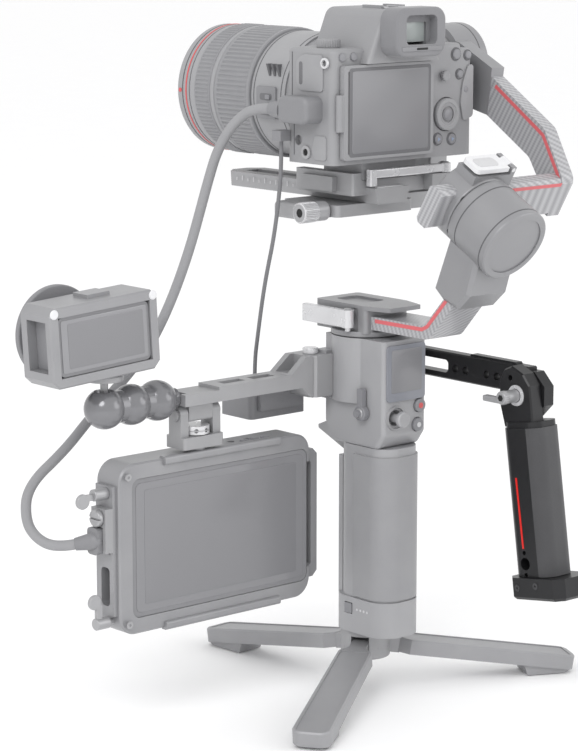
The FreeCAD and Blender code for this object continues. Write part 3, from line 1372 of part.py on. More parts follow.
def lens_barrel():
    """The lens body: its rear barrel, the core under the zoom ring, and the front barrel with its thread."""
    ring_end = s.zoom_ring_start + s.zoom_ring_length
    mount_face = s.camera_front + 5
    core_radius = s.lens_radius - s.zoom_ring_thick - 0.3
    rear = cone("y", LENS_AXIS, (36, s.lens_radius - 2.5), (mount_face, mount_face + 14))
    middle = rod("y", LENS_AXIS, s.lens_radius - 1.5, (mount_face + 13, s.zoom_ring_start - 0.4))
    core = rod("y", LENS_AXIS, core_radius, (mount_face + 12, ring_end + 2))
    front = rounded(rod("y", LENS_AXIS, s.lens_radius, (ring_end + 0.4, s.lens_front)), 1.2)
    groove = cut(rod("y", LENS_AXIS, s.lens_radius + 1, (s.lens_front - 14, s.lens_front - 12.8)),
                 rod("y", LENS_AXIS, s.lens_radius - 0.8, (s.lens_front - 15, s.lens_front - 12)))
    thread = rod("y", LENS_AXIS, s.filter_radius, (s.lens_front - 6, s.lens_front + 1))
    throat = rod("y", LENS_AXIS, 35, (ring_end, s.lens_front))
    bore = rod("y", LENS_AXIS, 22, (mount_face - 1, ring_end + 1))
    sub_part("lens_barrel", cut(fuse(rear, middle, core, front), groove, thread, throat, bore))


def zoom_ring():
    span = (s.zoom_ring_start, s.zoom_ring_start + s.zoom_ring_length)
    outer = rounded(rod("y", LENS_AXIS, s.lens_radius + 0.1, span), 0.7)
    inner = rod("y", LENS_AXIS, s.lens_radius - s.zoom_ring_thick, (span[0] - 1, span[1] + 1))
    sub_part("zoom_ring", cut(outer, inner))


def lens_glass():
    """The front and rear elements in the barrel."""
    ring_end = s.zoom_ring_start + s.zoom_ring_length
    bulge = s.lens_front - 12
    front = common(rod("y", LENS_AXIS, 35, (bulge - 8, bulge + 8)),
                   ball(LENS_AXIS[0], bulge - 100, LENS_AXIS[1], 105))
    rear = rod("y", LENS_AXIS, 22, (s.camera_front + 12, s.camera_front + 18))
    middle = rod("y", LENS_AXIS, 22, (ring_end - 20, ring_end - 12))
    sub_part("lens_glass", group(front, middle, rear))


# Cables

PLUG_Y = (-26, 11)
VIDEO_START = (-73.5, 15, PORT_LEVEL - 1)
BOOT_ROOT = (CAGE_LEFT - 11, CAGE_FRONT + 13, PLUG_LEVEL)
BOOT_DIRECTION = Vector(-0.66, 0.72, -0.2).normalize()
BOOT_LENGTH = 13
THIN_CABLE_END = (-60, 49, RECEIVER_LOW + s.receiver_high + 3)


def camera_plug():
    """The video plug turned forward along the camera's side, and the small control plug below it."""
    wall = -s.camera_left
    z = PORT_LEVEL
    shell = box((wall, wall + 3.5), (-20, -9), (z - 3, z + 3))
    hood = rounded(box((wall - 15, wall), (PLUG_Y[0], PLUG_Y[1] - 8), (z - 9, z + 9)), 5, "x")
    hood = rounded(hood, 3, test=lambda middle: middle.x < wall.number - 14.5)
    nose = cone("y", (VIDEO_START[0], VIDEO_START[2]), (7, 4.6), (PLUG_Y[1] - 9, VIDEO_START[1]))
    jack = box((wall - 10, wall), (5, 14), (CONTROL_LOW, CONTROL_LOW + 7))
    sub_part("camera_plug", group(fuse(shell, hood, nose), rounded(jack, 1, "z")))


CONTROL_LOW = s.camera_low + 14


def monitor_plug():
    """The plug in the monitor's side, with its tapered strain relief."""
    y, z = CAGE_FRONT + 13, PLUG_LEVEL
    shell = box((CAGE_LEFT, SCREEN_LEFT + 4), (y - 2.6, y + 2.6), (z - 6.5, z + 6.5))
    hood = rounded(box((CAGE_LEFT - 13, CAGE_LEFT + 2), (y - 5.5, y + 5.5), (z - 9, z + 9)), 3, "x")
    relief = doc.addObject("Part::Cone", "Relief")
    bind(relief, Radius1=6, Radius2=4.2, Height=BOOT_LENGTH)
    relief.Placement = Placement(Vector(), Rotation(Vector(0, 0, 1), BOOT_DIRECTION))
    put(relief, *BOOT_ROOT)
    knuckle = ball(*BOOT_ROOT, 6)
    sub_part("monitor_plug", fuse(shell, hood, relief, knuckle))


def boot_point(reach):
    """A point on the strain relief's axis."""
    return tuple(root + step * reach for root, step in zip(BOOT_ROOT, BOOT_DIRECTION))


def tube(label, points, radius):
    """A round cable along straight runs joined by tangent arcs, as large as the runs allow."""
    spots = [Vector(*[size(value).number for value in point]) for point in points]
    edges, start, radii = [], spots[0], []
    for before, corner, after in zip(spots, spots[1:], spots[2:]):
        into, out = (corner - before).normalize(), (after - corner).normalize()
        half_turn = into.getAngle(out) / 2
        back = 0.45 * min((corner - before).Length, (after - corner).Length)
        bend = back / math.tan(half_turn)
        radii.append(round(bend, 1))
        first, last = corner - into * back, corner + out * back
        towards = (out - into).normalize()
        middle = corner + towards * (bend / math.cos(half_turn) - bend)
        edges.append(Part.LineSegment(start, first).toShape())
        edges.append(Part.Arc(first, middle, last).toShape())
        start = last
    edges.append(Part.LineSegment(start, spots[-1]).toShape())
    path = Part.Wire(edges)
    section = Part.Wire(Part.Circle(spots[0], spots[1] - spots[0], radius.number).toShape())
    solid = path.makePipeShell([section], True, False)
    expected = math.pi * radius.number**2 * path.Length
    print(label, "radii", radii, "length", round(path.Length, 1), "volume", round(solid.Volume / expected, 4))
    cable = doc.addObject("Part::Feature", "Cable")
    cable.Shape = solid
    cable.Label = label
    sub_parts.append(cable)


VIDEO_ROUTE = [
    (-73.5, 33, 408), (-79.3, 48.2, 396.4), (-87.7, 55.1, 378), (-94.3, 56.6, 358.1), (-101.2, 56.5, 339.3),
    (-108.8, 56, 319.7), (-116.7, 56, 301.3), (-124.9, 57.6, 282), (-133.3, 60.8, 263.1), (-142, 65.5, 245.6),
    (-154.2, 71.1, 229.5), (-168.1, 74.7, 215.6), (-183, 76, 202.4), (-203.9, 74.5, 185.1), (-234.2, 76.3, 164.3),
    (-242, 67.8, 143.4), (-239.8, 56.8, 132.7),
]
THIN_ROUTE = [
    (-70, 9.5, 368), (-70.6, 11.1, 350.2), (-71, 13.7, 332.5), (-71, 17.8, 315), (-69.6, 24.4, 298.4),
    (-67.1, 31.3, 282), (-64.2, 37.9, 266), (-61.7, 43.9, 249.2), (-60, 49, 232),
]


def cables():
    video = [VIDEO_START, *VIDEO_ROUTE, boot_point(BOOT_LENGTH + 12.5), boot_point(BOOT_LENGTH)]
    thin = [(-70, 9.5, CONTROL_LOW), *THIN_ROUTE, THIN_CABLE_END]
    tube("video_cable", video, s.video_cable_radius)
    tube("control_cable", thin, s.thin_cable_radius)


def build():
    for make in (
        tripod_hub, leg_pins, tripod_legs,
        battery_grip, grip_rubber, battery_cells, battery_button,
        control_body, touch_screen, joystick, trigger, side_lever,
        bracket_arm, bracket_screws, receiver,
        mount_block, mount_yoke, lock_ring, monitor_cage, cage_screws, monitor_body, monitor_glass, hdmi_clamp,
        ball_arm, arm_stud, device_cage, device_body, lens_hood,
        sling_arm, sling_grip, sling_rubber, sling_lever,
        pan_cap, pan_arm, pan_lever,
        roll_motor, roll_clamp, roll_arm, roll_lever,
        tilt_motor, camera_bracket, balance_knob, slide_plate, plate_lever,
        camera_body, quick_dial, mode_dial, eyecup, lcd_panel,
        lens_barrel, zoom_ring, lens_glass,
        camera_plug, monitor_plug, cables,
    ):
        make()
    push_button("record_button", RECORD)
    push_button("mode_button", MODE)


def check_and_write():
    """Refuse a failed feature or a broken shape, then write each sub-part to its own file."""
    doc.recompute()
    failed = [thing.Name for thing in doc.Objects if {"Invalid", "Error"} & set(thing.State)]
    if failed:
        raise RuntimeError(f"failed features: {failed}")
    for thing in sub_parts:
        if thing.Shape.isNull() or not thing.Shape.isValid():
            raise RuntimeError(f"{thing.Label} has no valid shape")
    os.makedirs("parts", exist_ok=True)
    for thing in sub_parts:
        thing.Shape.exportStep(f"parts/{thing.Label}.step")
    print(len(sub_parts), "sub-parts written")


build()
check_and_write()
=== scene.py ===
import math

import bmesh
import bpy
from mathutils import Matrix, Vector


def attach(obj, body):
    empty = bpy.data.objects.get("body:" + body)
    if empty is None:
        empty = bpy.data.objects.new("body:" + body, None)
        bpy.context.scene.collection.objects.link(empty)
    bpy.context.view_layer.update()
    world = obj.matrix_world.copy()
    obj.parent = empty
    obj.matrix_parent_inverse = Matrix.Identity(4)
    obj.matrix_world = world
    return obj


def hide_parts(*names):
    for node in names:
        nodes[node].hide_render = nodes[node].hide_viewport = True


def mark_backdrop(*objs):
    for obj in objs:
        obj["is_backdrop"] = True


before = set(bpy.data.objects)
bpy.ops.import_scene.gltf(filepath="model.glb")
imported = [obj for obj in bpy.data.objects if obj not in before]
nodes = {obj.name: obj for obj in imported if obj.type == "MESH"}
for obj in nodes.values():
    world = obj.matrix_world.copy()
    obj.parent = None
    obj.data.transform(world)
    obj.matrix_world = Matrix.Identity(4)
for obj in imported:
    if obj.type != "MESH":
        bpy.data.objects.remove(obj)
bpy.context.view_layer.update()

# %% [markdown]
# # A camera rig in Blender
#
# A mirrorless camera sits on a handheld gimbal, which stands on its own small tripod. A monitor and a small
# second camera hang on the left, and a black sling handle on the right. The metal and plastic parts come in as a
# fixed frame from the CAD model. This lesson dresses them: every part gets a finish made with nodes, and the fine
# detail, such as ribs, screws, glass and stripes, is built here as mesh.

MM = 0.001

# %% [markdown]
# ## The camera
#
# The view is from the operator's left and a little above. A long lens from nearly two metres keeps the parallel
# edges of the rig almost parallel. Depth of field stays off, because the whole rig has to be sharp.

# %% The camera
VIEW_FROM = Vector((-1.238, -1.333, 0.558))
LENS_MM = 128.4


def set_up_camera():
    camera = bpy.data.objects.new("view_camera", bpy.data.cameras.new("view_camera"))
    camera.data.lens = LENS_MM
    camera.data.sensor_width = 36
    camera.location = VIEW_FROM
    camera.rotation_euler = (math.radians(90 - 10.5), 0, math.radians(-41.19))
    bpy.context.scene.collection.objects.link(camera)
    bpy.context.scene.camera = camera
    return camera


print("camera", tuple(round(v, 3) for v in set_up_camera().location))

# %% [markdown]
# ## The two cables
#
# A cable is a curve with a round bevel. A NURBS curve of order 3 rounds every corner of its control points, so a
# few points give one smooth line. The bevel is one metre deep, and each point's radius shrinks it to the cable's
# own, because a curve's box grows by that radius and the box has to fit the rig. The video cable hangs from the
# camera's plug to the monitor's, and the thin control cable drops to the receiver. Their finish is made further
# on, so it is added to them there.

# %% Cable curves
VIDEO_ROUTE = [
    (-73.5, 15, 408), (-73.5, 33, 408), (-79.3, 48.2, 396.4), (-87.7, 55.1, 378), (-94.3, 56.6, 358.1),
    (-101.2, 56.5, 339.3), (-108.8, 56, 319.7), (-116.7, 56, 301.3), (-124.9, 57.6, 282),
    (-133.3, 60.8, 263.1), (-142, 65.5, 245.6), (-154.2, 71.1, 229.5), (-168.1, 74.7, 215.6),
    (-183, 76, 202.4), (-203.9, 74.5, 185.1), (-234.2, 76.3, 164.3), (-242, 67.8, 143.4),
    (-239.8, 56.8, 132.7), (-232.9, 45.4, 128.9), (-224.6, 36.4, 131.4),
]
CONTROL_ROUTE = [
    (-70, 9.5, 387), (-70, 9.5, 368), (-70.6, 11.1, 350.2), (-71, 13.7, 332.5), (-71, 17.8, 315),
    (-69.6, 24.4, 298.4), (-67.1, 31.3, 282), (-64.2, 37.9, 266), (-61.7, 43.9, 249.2), (-60, 49, 232),
    (-60, 49, 215),
]


def cable(name, route, thickness):
    """A round cable through its control points; route and thickness are in millimetres."""
    curve = bpy.data.curves.new(name, "CURVE")
    curve.dimensions = "3D"
    curve.bevel_depth = 1
    curve.bevel_resolution = 5
    curve.resolution_u = 16
    curve.use_fill_caps = True
    line = curve.splines.new("NURBS")
    line.points.add(len(route) - 1)
    for point, (x, y, z) in zip(line.points, route):
        point.co = (x * MM, y * MM, z * MM, 1)
        point.radius = thickness / 2 * MM
    line.order_u = 3
    line.use_endpoint_u = True
    piece = bpy.data.objects.new(name, curve)
    bpy.context.scene.collection.objects.link(piece)
    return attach(piece, "stand")


video_cable = cable("video_lead", VIDEO_ROUTE, 7)
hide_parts("video_cable")
control_cable = cable("control_lead", CONTROL_ROUTE, 2.8)
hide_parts("control_cable")
print("cables:", len(VIDEO_ROUTE), "and", len(CONTROL_ROUTE), "points")

# %% [markdown]
# ## Colours and nodes
#
# Colours are written as sRGB hex, the way a paint chart gives them, and one function turns them to the linear
# numbers that a shader wants. One more function adds a node with its settings and its links, so each finish below
# reads as a short list of steps. Pattern sizes are given in millimetres. The frame's objects all sit at the
# origin, so object coordinates are the same metres everywhere and the patterns don't stretch.

# %% Colour, node and finish helpers
def linear(hex_colour):
    """sRGB hex to a linear RGBA tuple."""
    channels = [int(hex_colour[i:i + 2], 16) / 255 for i in (1, 3, 5)]
    return tuple(c / 12.92 if c <= 0.04045 else ((c + 0.055) / 1.055) ** 2.4 for c in channels) + (1.0,)


def add_node(tree, kind, links=None, **settings):
    """Add one node; links maps an input's name or number to a value or to another node's output."""
    made = tree.nodes.new(kind)
    for key, value in settings.items():
        setattr(made, key, value)
    for socket, value in (links or {}).items():
        if isinstance(value, bpy.types.NodeSocket):
            tree.links.new(value, made.inputs[socket])
        else:
            made.inputs[socket].default_value = value
    return made


def blank_finish(name, **shader_values):
    """A material with its shader; returns the material, its tree, the shader and the object coordinates."""
    material = bpy.data.materials.new(name)
    material.use_nodes = True
    tree = material.node_tree
    shader = tree.nodes["Principled BSDF"]
    for socket, value in shader_values.items():
        shader.inputs[socket.replace("_", " ")].default_value = value
    place = add_node(tree, "ShaderNodeTexCoord").outputs["Object"]
    return material, tree, shader, place


def per_mm(size):
    """The scale of a pattern whose features are this many millimetres across."""
    return 1 / (size * MM)


print("white is", linear("#ffffff"))

# %% [markdown]
# ### Anodised aluminium
#
# The clamps, cages, plates and motor cans are machined aluminium, bead-blasted and anodised. Blasting leaves a
# very fine, even grain, so the metal looks satin, with soft highlights that run along its edges. The dye lies in
# an oxide layer, so the metal reads partly as a dielectric: metallic is kept low. The real grain is about 0.1 mm.
# It is drawn at 0.7 mm, the finest that shows from here.

# %% Anodised aluminium
def anodised_aluminium(name, colour, shadow, roughness=0.42, metallic=0.25):
    material, tree, shader, place = blank_finish(name, Metallic=metallic)
    cloud = add_node(tree, "ShaderNodeTexNoise", {"Vector": place, "Scale": per_mm(28), "Detail": 3.0})
    tone = add_node(tree, "ShaderNodeMix", {0: cloud.outputs["Fac"], 6: linear(colour), 7: linear(shadow)},
                    data_type="RGBA")
    tree.links.new(tone.outputs[2], shader.inputs["Base Color"])
    grain = add_node(tree, "ShaderNodeTexNoise", {"Vector": place, "Scale": per_mm(0.7), "Detail": 2.0})
    gloss = add_node(tree, "ShaderNodeMapRange", {"Value": grain.outputs["Fac"], "To Min": roughness - 0.07,
                                                  "To Max": roughness + 0.09})
    tree.links.new(gloss.outputs["Result"], shader.inputs["Roughness"])
    bump = add_node(tree, "ShaderNodeBump", {"Height": grain.outputs["Fac"], "Strength": 0.10,
                                             "Distance": 0.3 * MM})
    tree.links.new(bump.outputs["Normal"], shader.inputs["Normal"])
    return material


GREY_ANODISED = anodised_aluminium("anodised_grey", "#a2a2a4", "#949496")
CAGE_ANODISED = anodised_aluminium("anodised_cage", "#9a9a9c", "#8c8c8f", 0.38)
PALE_ANODISED = anodised_aluminium("anodised_pale", "#aeaeb0", "#a0a0a3", 0.36)
LEG_ANODISED = anodised_aluminium("anodised_legs", "#a0a0a2", "#949497", 0.45)
MOTOR_ANODISED = anodised_aluminium("anodised_motor", "#929294", "#88888b", 0.36)
BALL_ANODISED = anodised_aluminium("anodised_gloss", "#818184", "#77777a", 0.16, 0.35)
BLACK_ANODISED = anodised_aluminium("anodised_black", "#262628", "#1d1d1f", 0.34, 0.3)
BLACK_EDGE = anodised_aluminium("anodised_charcoal", "#4a4a4c", "#3c3c3e", 0.36, 0.3)
print("anodised finishes: 8")

# %% [markdown]
# ### Moulded polycarbonate
#
# The camera, the gimbal's grip and the monitor's shell are glass-filled polycarbonate from a spark-eroded mould.
# The mould's pits print as a fine leather-like pebble, about 0.4 mm across, that breaks up highlights. Voronoi
# cells give such a pebble. Its IOR is about 1.58.

# %% Moulded polycarbonate
def moulded_polycarbonate(name, colour, shadow, pebble=0.9, roughness=0.5, depth=0.22):
    material, tree, shader, place = blank_finish(name, IOR=1.58)
    cloud = add_node(tree, "ShaderNodeTexNoise", {"Vector": place, "Scale": per_mm(35), "Detail": 2.0})
    tone = add_node(tree, "ShaderNodeMix", {0: cloud.outputs["Fac"], 6: linear(colour), 7: linear(shadow)},
                    data_type="RGBA")
    tree.links.new(tone.outputs[2], shader.inputs["Base Color"])
    cells = add_node(tree, "ShaderNodeTexVoronoi", {"Vector": place, "Scale": per_mm(pebble)})
    gloss = add_node(tree, "ShaderNodeMapRange", {"Value": cells.outputs["Distance"],
                                                  "To Min": roughness - 0.06, "To Max": roughness + 0.1})
    tree.links.new(gloss.outputs["Result"], shader.inputs["Roughness"])
    bump = add_node(tree, "ShaderNodeBump", {"Height": cells.outputs["Distance"], "Strength": depth,
                                             "Distance": 0.25 * MM})
    tree.links.new(bump.outputs["Normal"], shader.inputs["Normal"])
    return material


CAMERA_SHELL = moulded_polycarbonate("moulded_camera_shell", "#949496", "#88888b")
GRIP_SHELL = moulded_polycarbonate("moulded_grip_shell", "#a1a1a3", "#97979a", 0.8, 0.42, 0.12)
LENS_SHELL = moulded_polycarbonate("moulded_lens_shell", "#9a9a9c", "#8f8f92", 0.8, 0.4, 0.12)
DARK_SHELL = moulded_polycarbonate("moulded_dark_shell", "#858588", "#7a7a7d", 0.9, 0.5)
KEY_PLASTIC = moulded_polycarbonate("moulded_keys", "#86868a", "#7c7c80", 0.8, 0.34, 0.08)
# Painted shade and a real bezel: this darker plastic fills the key rings, the switch wells and the door's finger
# slot as painted shade in those recesses, and it is also the screen's real dark border.
RECESS_SHADE_AND_BEZEL = moulded_polycarbonate("moulded_recess_shade_and_bezel", "#6c6c6f", "#626265", 0.9, 0.6)
print("moulded finishes: 6")

# %% [markdown]
# ### Silicone rubber
#
# The grip's panel, the zoom ring and the eyecup are moulded silicone. Rubber is matt, with a faint bloom at
# grazing angles, which sheen gives. The panel's surface has a fine cloth-like print that noise stands in for.

# %% Silicone rubber
def silicone_rubber(name, colour, shadow, grain=0.8, sheen=0.25, depth=0.25):
    material, tree, shader, place = blank_finish(name, IOR=1.43, Sheen_Weight=sheen, Sheen_Roughness=0.5)
    cloud = add_node(tree, "ShaderNodeTexNoise", {"Vector": place, "Scale": per_mm(18), "Detail": 4.0})
    tone = add_node(tree, "ShaderNodeMix", {0: cloud.outputs["Fac"], 6: linear(colour), 7: linear(shadow)},
                    data_type="RGBA")
    tree.links.new(tone.outputs[2], shader.inputs["Base Color"])
    print_grain = add_node(tree, "ShaderNodeTexNoise", {"Vector": place, "Scale": per_mm(grain), "Detail": 1.0})
    gloss = add_node(tree, "ShaderNodeMapRange", {"Value": print_grain.outputs["Fac"], "To Min": 0.58,
                                                  "To Max": 0.78})
    tree.links.new(gloss.outputs["Result"], shader.inputs["Roughness"])
    bump = add_node(tree, "ShaderNodeBump", {"Height": print_grain.outputs["Fac"], "Strength": depth,
                                             "Distance": 0.25 * MM})
    tree.links.new(bump.outputs["Normal"], shader.inputs["Normal"])
    return material


GREY_RUBBER = silicone_rubber("silicone_grey", "#98989a", "#8e8e91")
LENS_RUBBER = silicone_rubber("silicone_lens_rings", "#8d8d90", "#838386")
BLACK_RUBBER = silicone_rubber("silicone_black", "#4a4a4c", "#404042", 0.9, 0.15)
EYE_RUBBER = silicone_rubber("silicone_eyecup", "#828285", "#77777a")
CABLE_JACKET = silicone_rubber("pvc_cable_jacket", "#98989a", "#8d8d90", 1.2, 0.1, 0.1)
THIN_JACKET = silicone_rubber("pvc_control_jacket", "#7c7c7f", "#727275", 1.2, 0.1, 0.1)
for lead, jacket in ((video_cable, CABLE_JACKET), (control_cable, THIN_JACKET)):
    lead.data.materials.append(jacket)
print("rubber finishes: 6")

# %% [markdown]
# ### Carbon twill
#
# The gimbal's arms are wrapped in 2 x 2 twill: flat tows of carbon, each about 2.5 mm wide, that pass over two and
# under two, one step further along in each row. The steps line up as diagonal ribs. Each rib catches the light on
# its own, because the tows run two ways. A wave texture at 45 degrees draws the ribs, a second one across them
# cuts them into tows, and a clear epoxy coat gives the gloss. A wave of scale 1 repeats every 0.314 units.

# %% Carbon twill
def carbon_twill(name, colour, shadow, slant):
    material, tree, shader, place = blank_finish(name, Coat_Weight=0.4, Coat_Roughness=0.15, IOR=1.55)
    turned = add_node(tree, "ShaderNodeMapping", {"Vector": place, "Rotation": slant})
    ribs = add_node(tree, "ShaderNodeTexWave", {"Vector": turned.outputs["Vector"], "Scale": 0.314 * per_mm(3.2)},
                    wave_type="BANDS", bands_direction="Y", wave_profile="SIN")
    tows = add_node(tree, "ShaderNodeTexWave", {"Vector": turned.outputs["Vector"], "Scale": 0.314 * per_mm(1.6)},
                    wave_type="BANDS", bands_direction="Z")
    weave = add_node(tree, "ShaderNodeMix", {0: 0.22, 2: ribs.outputs["Fac"], 3: tows.outputs["Fac"]})
    tone = add_node(tree, "ShaderNodeMix", {0: weave.outputs[0], 6: linear(shadow), 7: linear(colour)},
                    data_type="RGBA")
    tree.links.new(tone.outputs[2], shader.inputs["Base Color"])
    gloss = add_node(tree, "ShaderNodeMapRange", {"Value": ribs.outputs["Fac"], "To Min": 0.44, "To Max": 0.3})
    tree.links.new(gloss.outputs["Result"], shader.inputs["Roughness"])
    bump = add_node(tree, "ShaderNodeBump", {"Height": weave.outputs[0], "Strength": 0.2, "Distance": 0.3 * MM})
    tree.links.new(bump.outputs["Normal"], shader.inputs["Normal"])
    return material


PAN_CARBON = carbon_twill("carbon_twill_pan", "#b0b0b3", "#8b8b8e", (math.radians(35), 0.4, 0.5))
ROLL_CARBON = carbon_twill("carbon_twill_roll", "#b0b0b3", "#8b8b8e", (math.radians(-20), 0.4, 0.5))
print("carbon finishes: 2")

# %% [markdown]
# ### Glass, steel and the small accents
#
# Screens are float glass over a dark panel, so the glass is drawn as one opaque, very smooth layer. Lens elements
# carry a coating that tints their reflections. Lock rings, screws and levers are turned steel, with fine rings
# from the cutting tool. The red lines are paint, and the lock plate is white acetal.

# %% Screen glass and lens glass
def screen_glass(name, colour, polish=0.04):
    material, tree, shader, place = blank_finish(name, IOR=1.45)
    haze = add_node(tree, "ShaderNodeTexNoise", {"Vector": place, "Scale": per_mm(90), "Detail": 1.0})
    darker = tuple(channel * 0.86 for channel in linear(colour)[:3]) + (1.0,)
    tone = add_node(tree, "ShaderNodeMix", {0: haze.outputs["Fac"], 6: linear(colour), 7: darker},
                    data_type="RGBA")
    tree.links.new(tone.outputs[2], shader.inputs["Base Color"])
    smear = add_node(tree, "ShaderNodeMapRange", {"Value": haze.outputs["Fac"], "To Min": polish,
                                                  "To Max": polish + 0.07})
    tree.links.new(smear.outputs["Result"], shader.inputs["Roughness"])
    return material


MONITOR_GLASS = screen_glass("float_glass_monitor", "#88888b")
BLUE_GLASS = screen_glass("float_glass_gimbal", "#8b8d94", 0.12)
CAMERA_GLASS = screen_glass("float_glass_camera", "#868689", 0.2)
DEVICE_GLASS = screen_glass("float_glass_device", "#939396")
LENS_GLASS = screen_glass("coated_lens_glass", "#4c5268")
EYE_GLASS = screen_glass("coated_eyepiece_glass", "#aab0af")
print("glass finishes: 6")

# %% Turned steel
def turned_steel(name, colour, roughness=0.24):
    material, tree, shader, place = blank_finish(name, Metallic=0.35)
    rings = add_node(tree, "ShaderNodeTexNoise", {"Vector": place, "Scale": per_mm(7), "Detail": 2.0})
    gloss = add_node(tree, "ShaderNodeMapRange", {"Value": rings.outputs["Fac"], "To Min": roughness - 0.04,
                                                  "To Max": roughness + 0.08})
    tree.links.new(gloss.outputs["Result"], shader.inputs["Roughness"])
    duller = tuple(channel * 0.95 for channel in linear(colour)[:3]) + (1.0,)
    tone = add_node(tree, "ShaderNodeMix", {0: rings.outputs["Fac"], 6: linear(colour), 7: duller},
                    data_type="RGBA")
    tree.links.new(tone.outputs[2], shader.inputs["Base Color"])
    return material


BRIGHT_STEEL = turned_steel("turned_steel_bright", "#d2d2d4")
GREY_STEEL = turned_steel("turned_steel_grey", "#a4a4a6", 0.3)
DARK_STEEL = turned_steel("turned_steel_dark", "#7b7b7e", 0.3)


# %% Paint, acetal, lamps and painted shade
def flat_accent(name, colour, roughness):
    """Paint, acetal, a lamp's lens or painted shade: small, smooth and nearly even, with a faint mottle."""
    material, tree, shader, place = blank_finish(name, IOR=1.48, Roughness=roughness)
    mottle = add_node(tree, "ShaderNodeTexNoise", {"Vector": place, "Scale": per_mm(3), "Detail": 2.0})
    darker = tuple(channel * 0.9 for channel in linear(colour)[:3]) + (1.0,)
    tone = add_node(tree, "ShaderNodeMix", {0: mottle.outputs["Fac"], 6: linear(colour), 7: darker},
                    data_type="RGBA")
    tree.links.new(tone.outputs[2], shader.inputs["Base Color"])
    return material


PINK_STRIPE = flat_accent("enamel_stripe_pink", "#d4666b", 0.35)
RED_LINE = flat_accent("enamel_line_red", "#e0231c", 0.3)
LENS_RED = flat_accent("enamel_lens_red", "#cf5b5d", 0.35)
WHITE_ACETAL = flat_accent("acetal_white", "#dfdfe1", 0.3)
# Pale print, small caps and lamp lenses, and painted shade: on the roll lever this grey is painted shade in the
# recessed oval.
PALE_MARK = flat_accent("pale_mark_and_recess_shade", "#c9c9cb", 0.4)
# Dark joints and painted shade: the seams and motor grooves are real dark joints, and the vents and small screw
# sockets are dark sheets of painted shade where only shade falls.
DARK_GAP = flat_accent("shadow_gap", "#5d5d60", 0.6)
# Real black and painted shade: this is the eye sensor's black window, and in the jack and the hexagonal sockets it
# is a flat sheet of painted shade inside the hole.
BLACK_AND_HOLE_SHADE = flat_accent("black_window_and_hole_shade", "#141415", 0.6)
BLUE_MARK = flat_accent("printed_mark_blue", "#8c9bb4", 0.4)
print("accents: 8")

# %% [markdown]
# ## Finishes for the frame's parts
#
# Each CAD part already has the right shape, so it only needs its finish. A part has one material slot, and
# assigning to the slot changes the look without touching the mesh.

# %% Give every part its finish
PART_FINISH = {
    GREY_ANODISED: "tripod_hub bracket_arm mount_block mount_yoke arm_stud camera_bracket slide_plate hdmi_clamp",
    LEG_ANODISED: "tripod_leg_front tripod_leg_left tripod_leg_right",
    CAGE_ANODISED: "monitor_cage device_cage",
    MOTOR_ANODISED: "pan_cap roll_motor roll_clamp tilt_motor",
    PALE_ANODISED: "balance_knob joystick",
    BALL_ANODISED: "ball_arm",
    GRIP_SHELL: "battery_grip control_body",
    GREY_RUBBER: "grip_rubber",
    EYE_RUBBER: "eyecup",
    CAMERA_SHELL: "camera_body lcd_panel quick_dial mode_dial",
    LENS_SHELL: "lens_barrel",
    LENS_RUBBER: "zoom_ring",
    DARK_SHELL: "monitor_body device_body lens_hood receiver_module camera_plug monitor_plug",
    KEY_PLASTIC: "battery_button record_button mode_button trigger side_lever",
    BRIGHT_STEEL: "bracket_screws lock_ring pan_lever plate_lever",
    DARK_STEEL: "leg_pins",
    PAN_CARBON: "pan_arm",
    ROLL_CARBON: "roll_arm",
    WHITE_ACETAL: "roll_lever battery_cells",
    MONITOR_GLASS: "monitor_glass",
    BLUE_GLASS: "touch_screen",
    LENS_GLASS: "lens_glass",
    BLACK_ANODISED: "sling_arm sling_grip",
    BLACK_RUBBER: "sling_rubber",
    GREY_STEEL: "sling_lever cage_screws",
    CABLE_JACKET: "video_cable control_cable",
}
dressed = 0
for finish, names in PART_FINISH.items():
    for name in names.split():
        for slot in nodes[name].material_slots:
            slot.material = finish
        dressed += 1
print("dressed", dressed, "of", len(nodes), "parts")

# %% [markdown]
# ## Making detail
#
# Three ways of making cover nearly all the small parts. A turned part is an outline spun round an axis, like work
# on a lathe. Ribs are teeth in that outline. A cut plate is a flat outline given a thickness and a bevel. A line
# of paint is a thin ribbon along a path. Each is drawn in millimetres in the frame of the part that carries it:
# the rig's own frame, or the leaning frame of the roll motor, the sling handle or the second camera.

# %% Frames of the leaning parts
def leaning_frame(origin, axis, degrees):
    turn = Matrix.Rotation(math.radians(degrees), 4, axis)
    return Matrix.Translation(Vector(origin) * MM) @ turn @ Matrix.Scale(MM, 4)


RIG = Matrix.Scale(MM, 4)
ROLL = leaning_frame((0, -139.5, 325), "X", 30)
SLING = leaning_frame((0, -108, 218), "X", -8.5)
DEVICE = leaning_frame((-219.3, 21, 244.6), "Y", -3.5)
TURN_PLANES = {"x": (1, 2, 0), "y": (2, 0, 1), "z": (0, 1, 2)}


def keep_piece(name, shape, body, finish, place, smooth=True):
    """Turn a bmesh into an object in its place, riding on its body."""
    bmesh.ops.recalc_face_normals(shape, faces=shape.faces)
    mesh = bpy.data.meshes.new(name)
    shape.to_mesh(mesh)
    shape.free()
    mesh.transform(place)
    mesh.materials.append(finish)
    if smooth:
        mesh.shade_smooth()
        mesh.set_sharp_from_angle(angle=math.radians(35))
    piece = bpy.data.objects.new(name, mesh)
    bpy.context.scene.collection.objects.link(piece)
    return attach(piece, body)


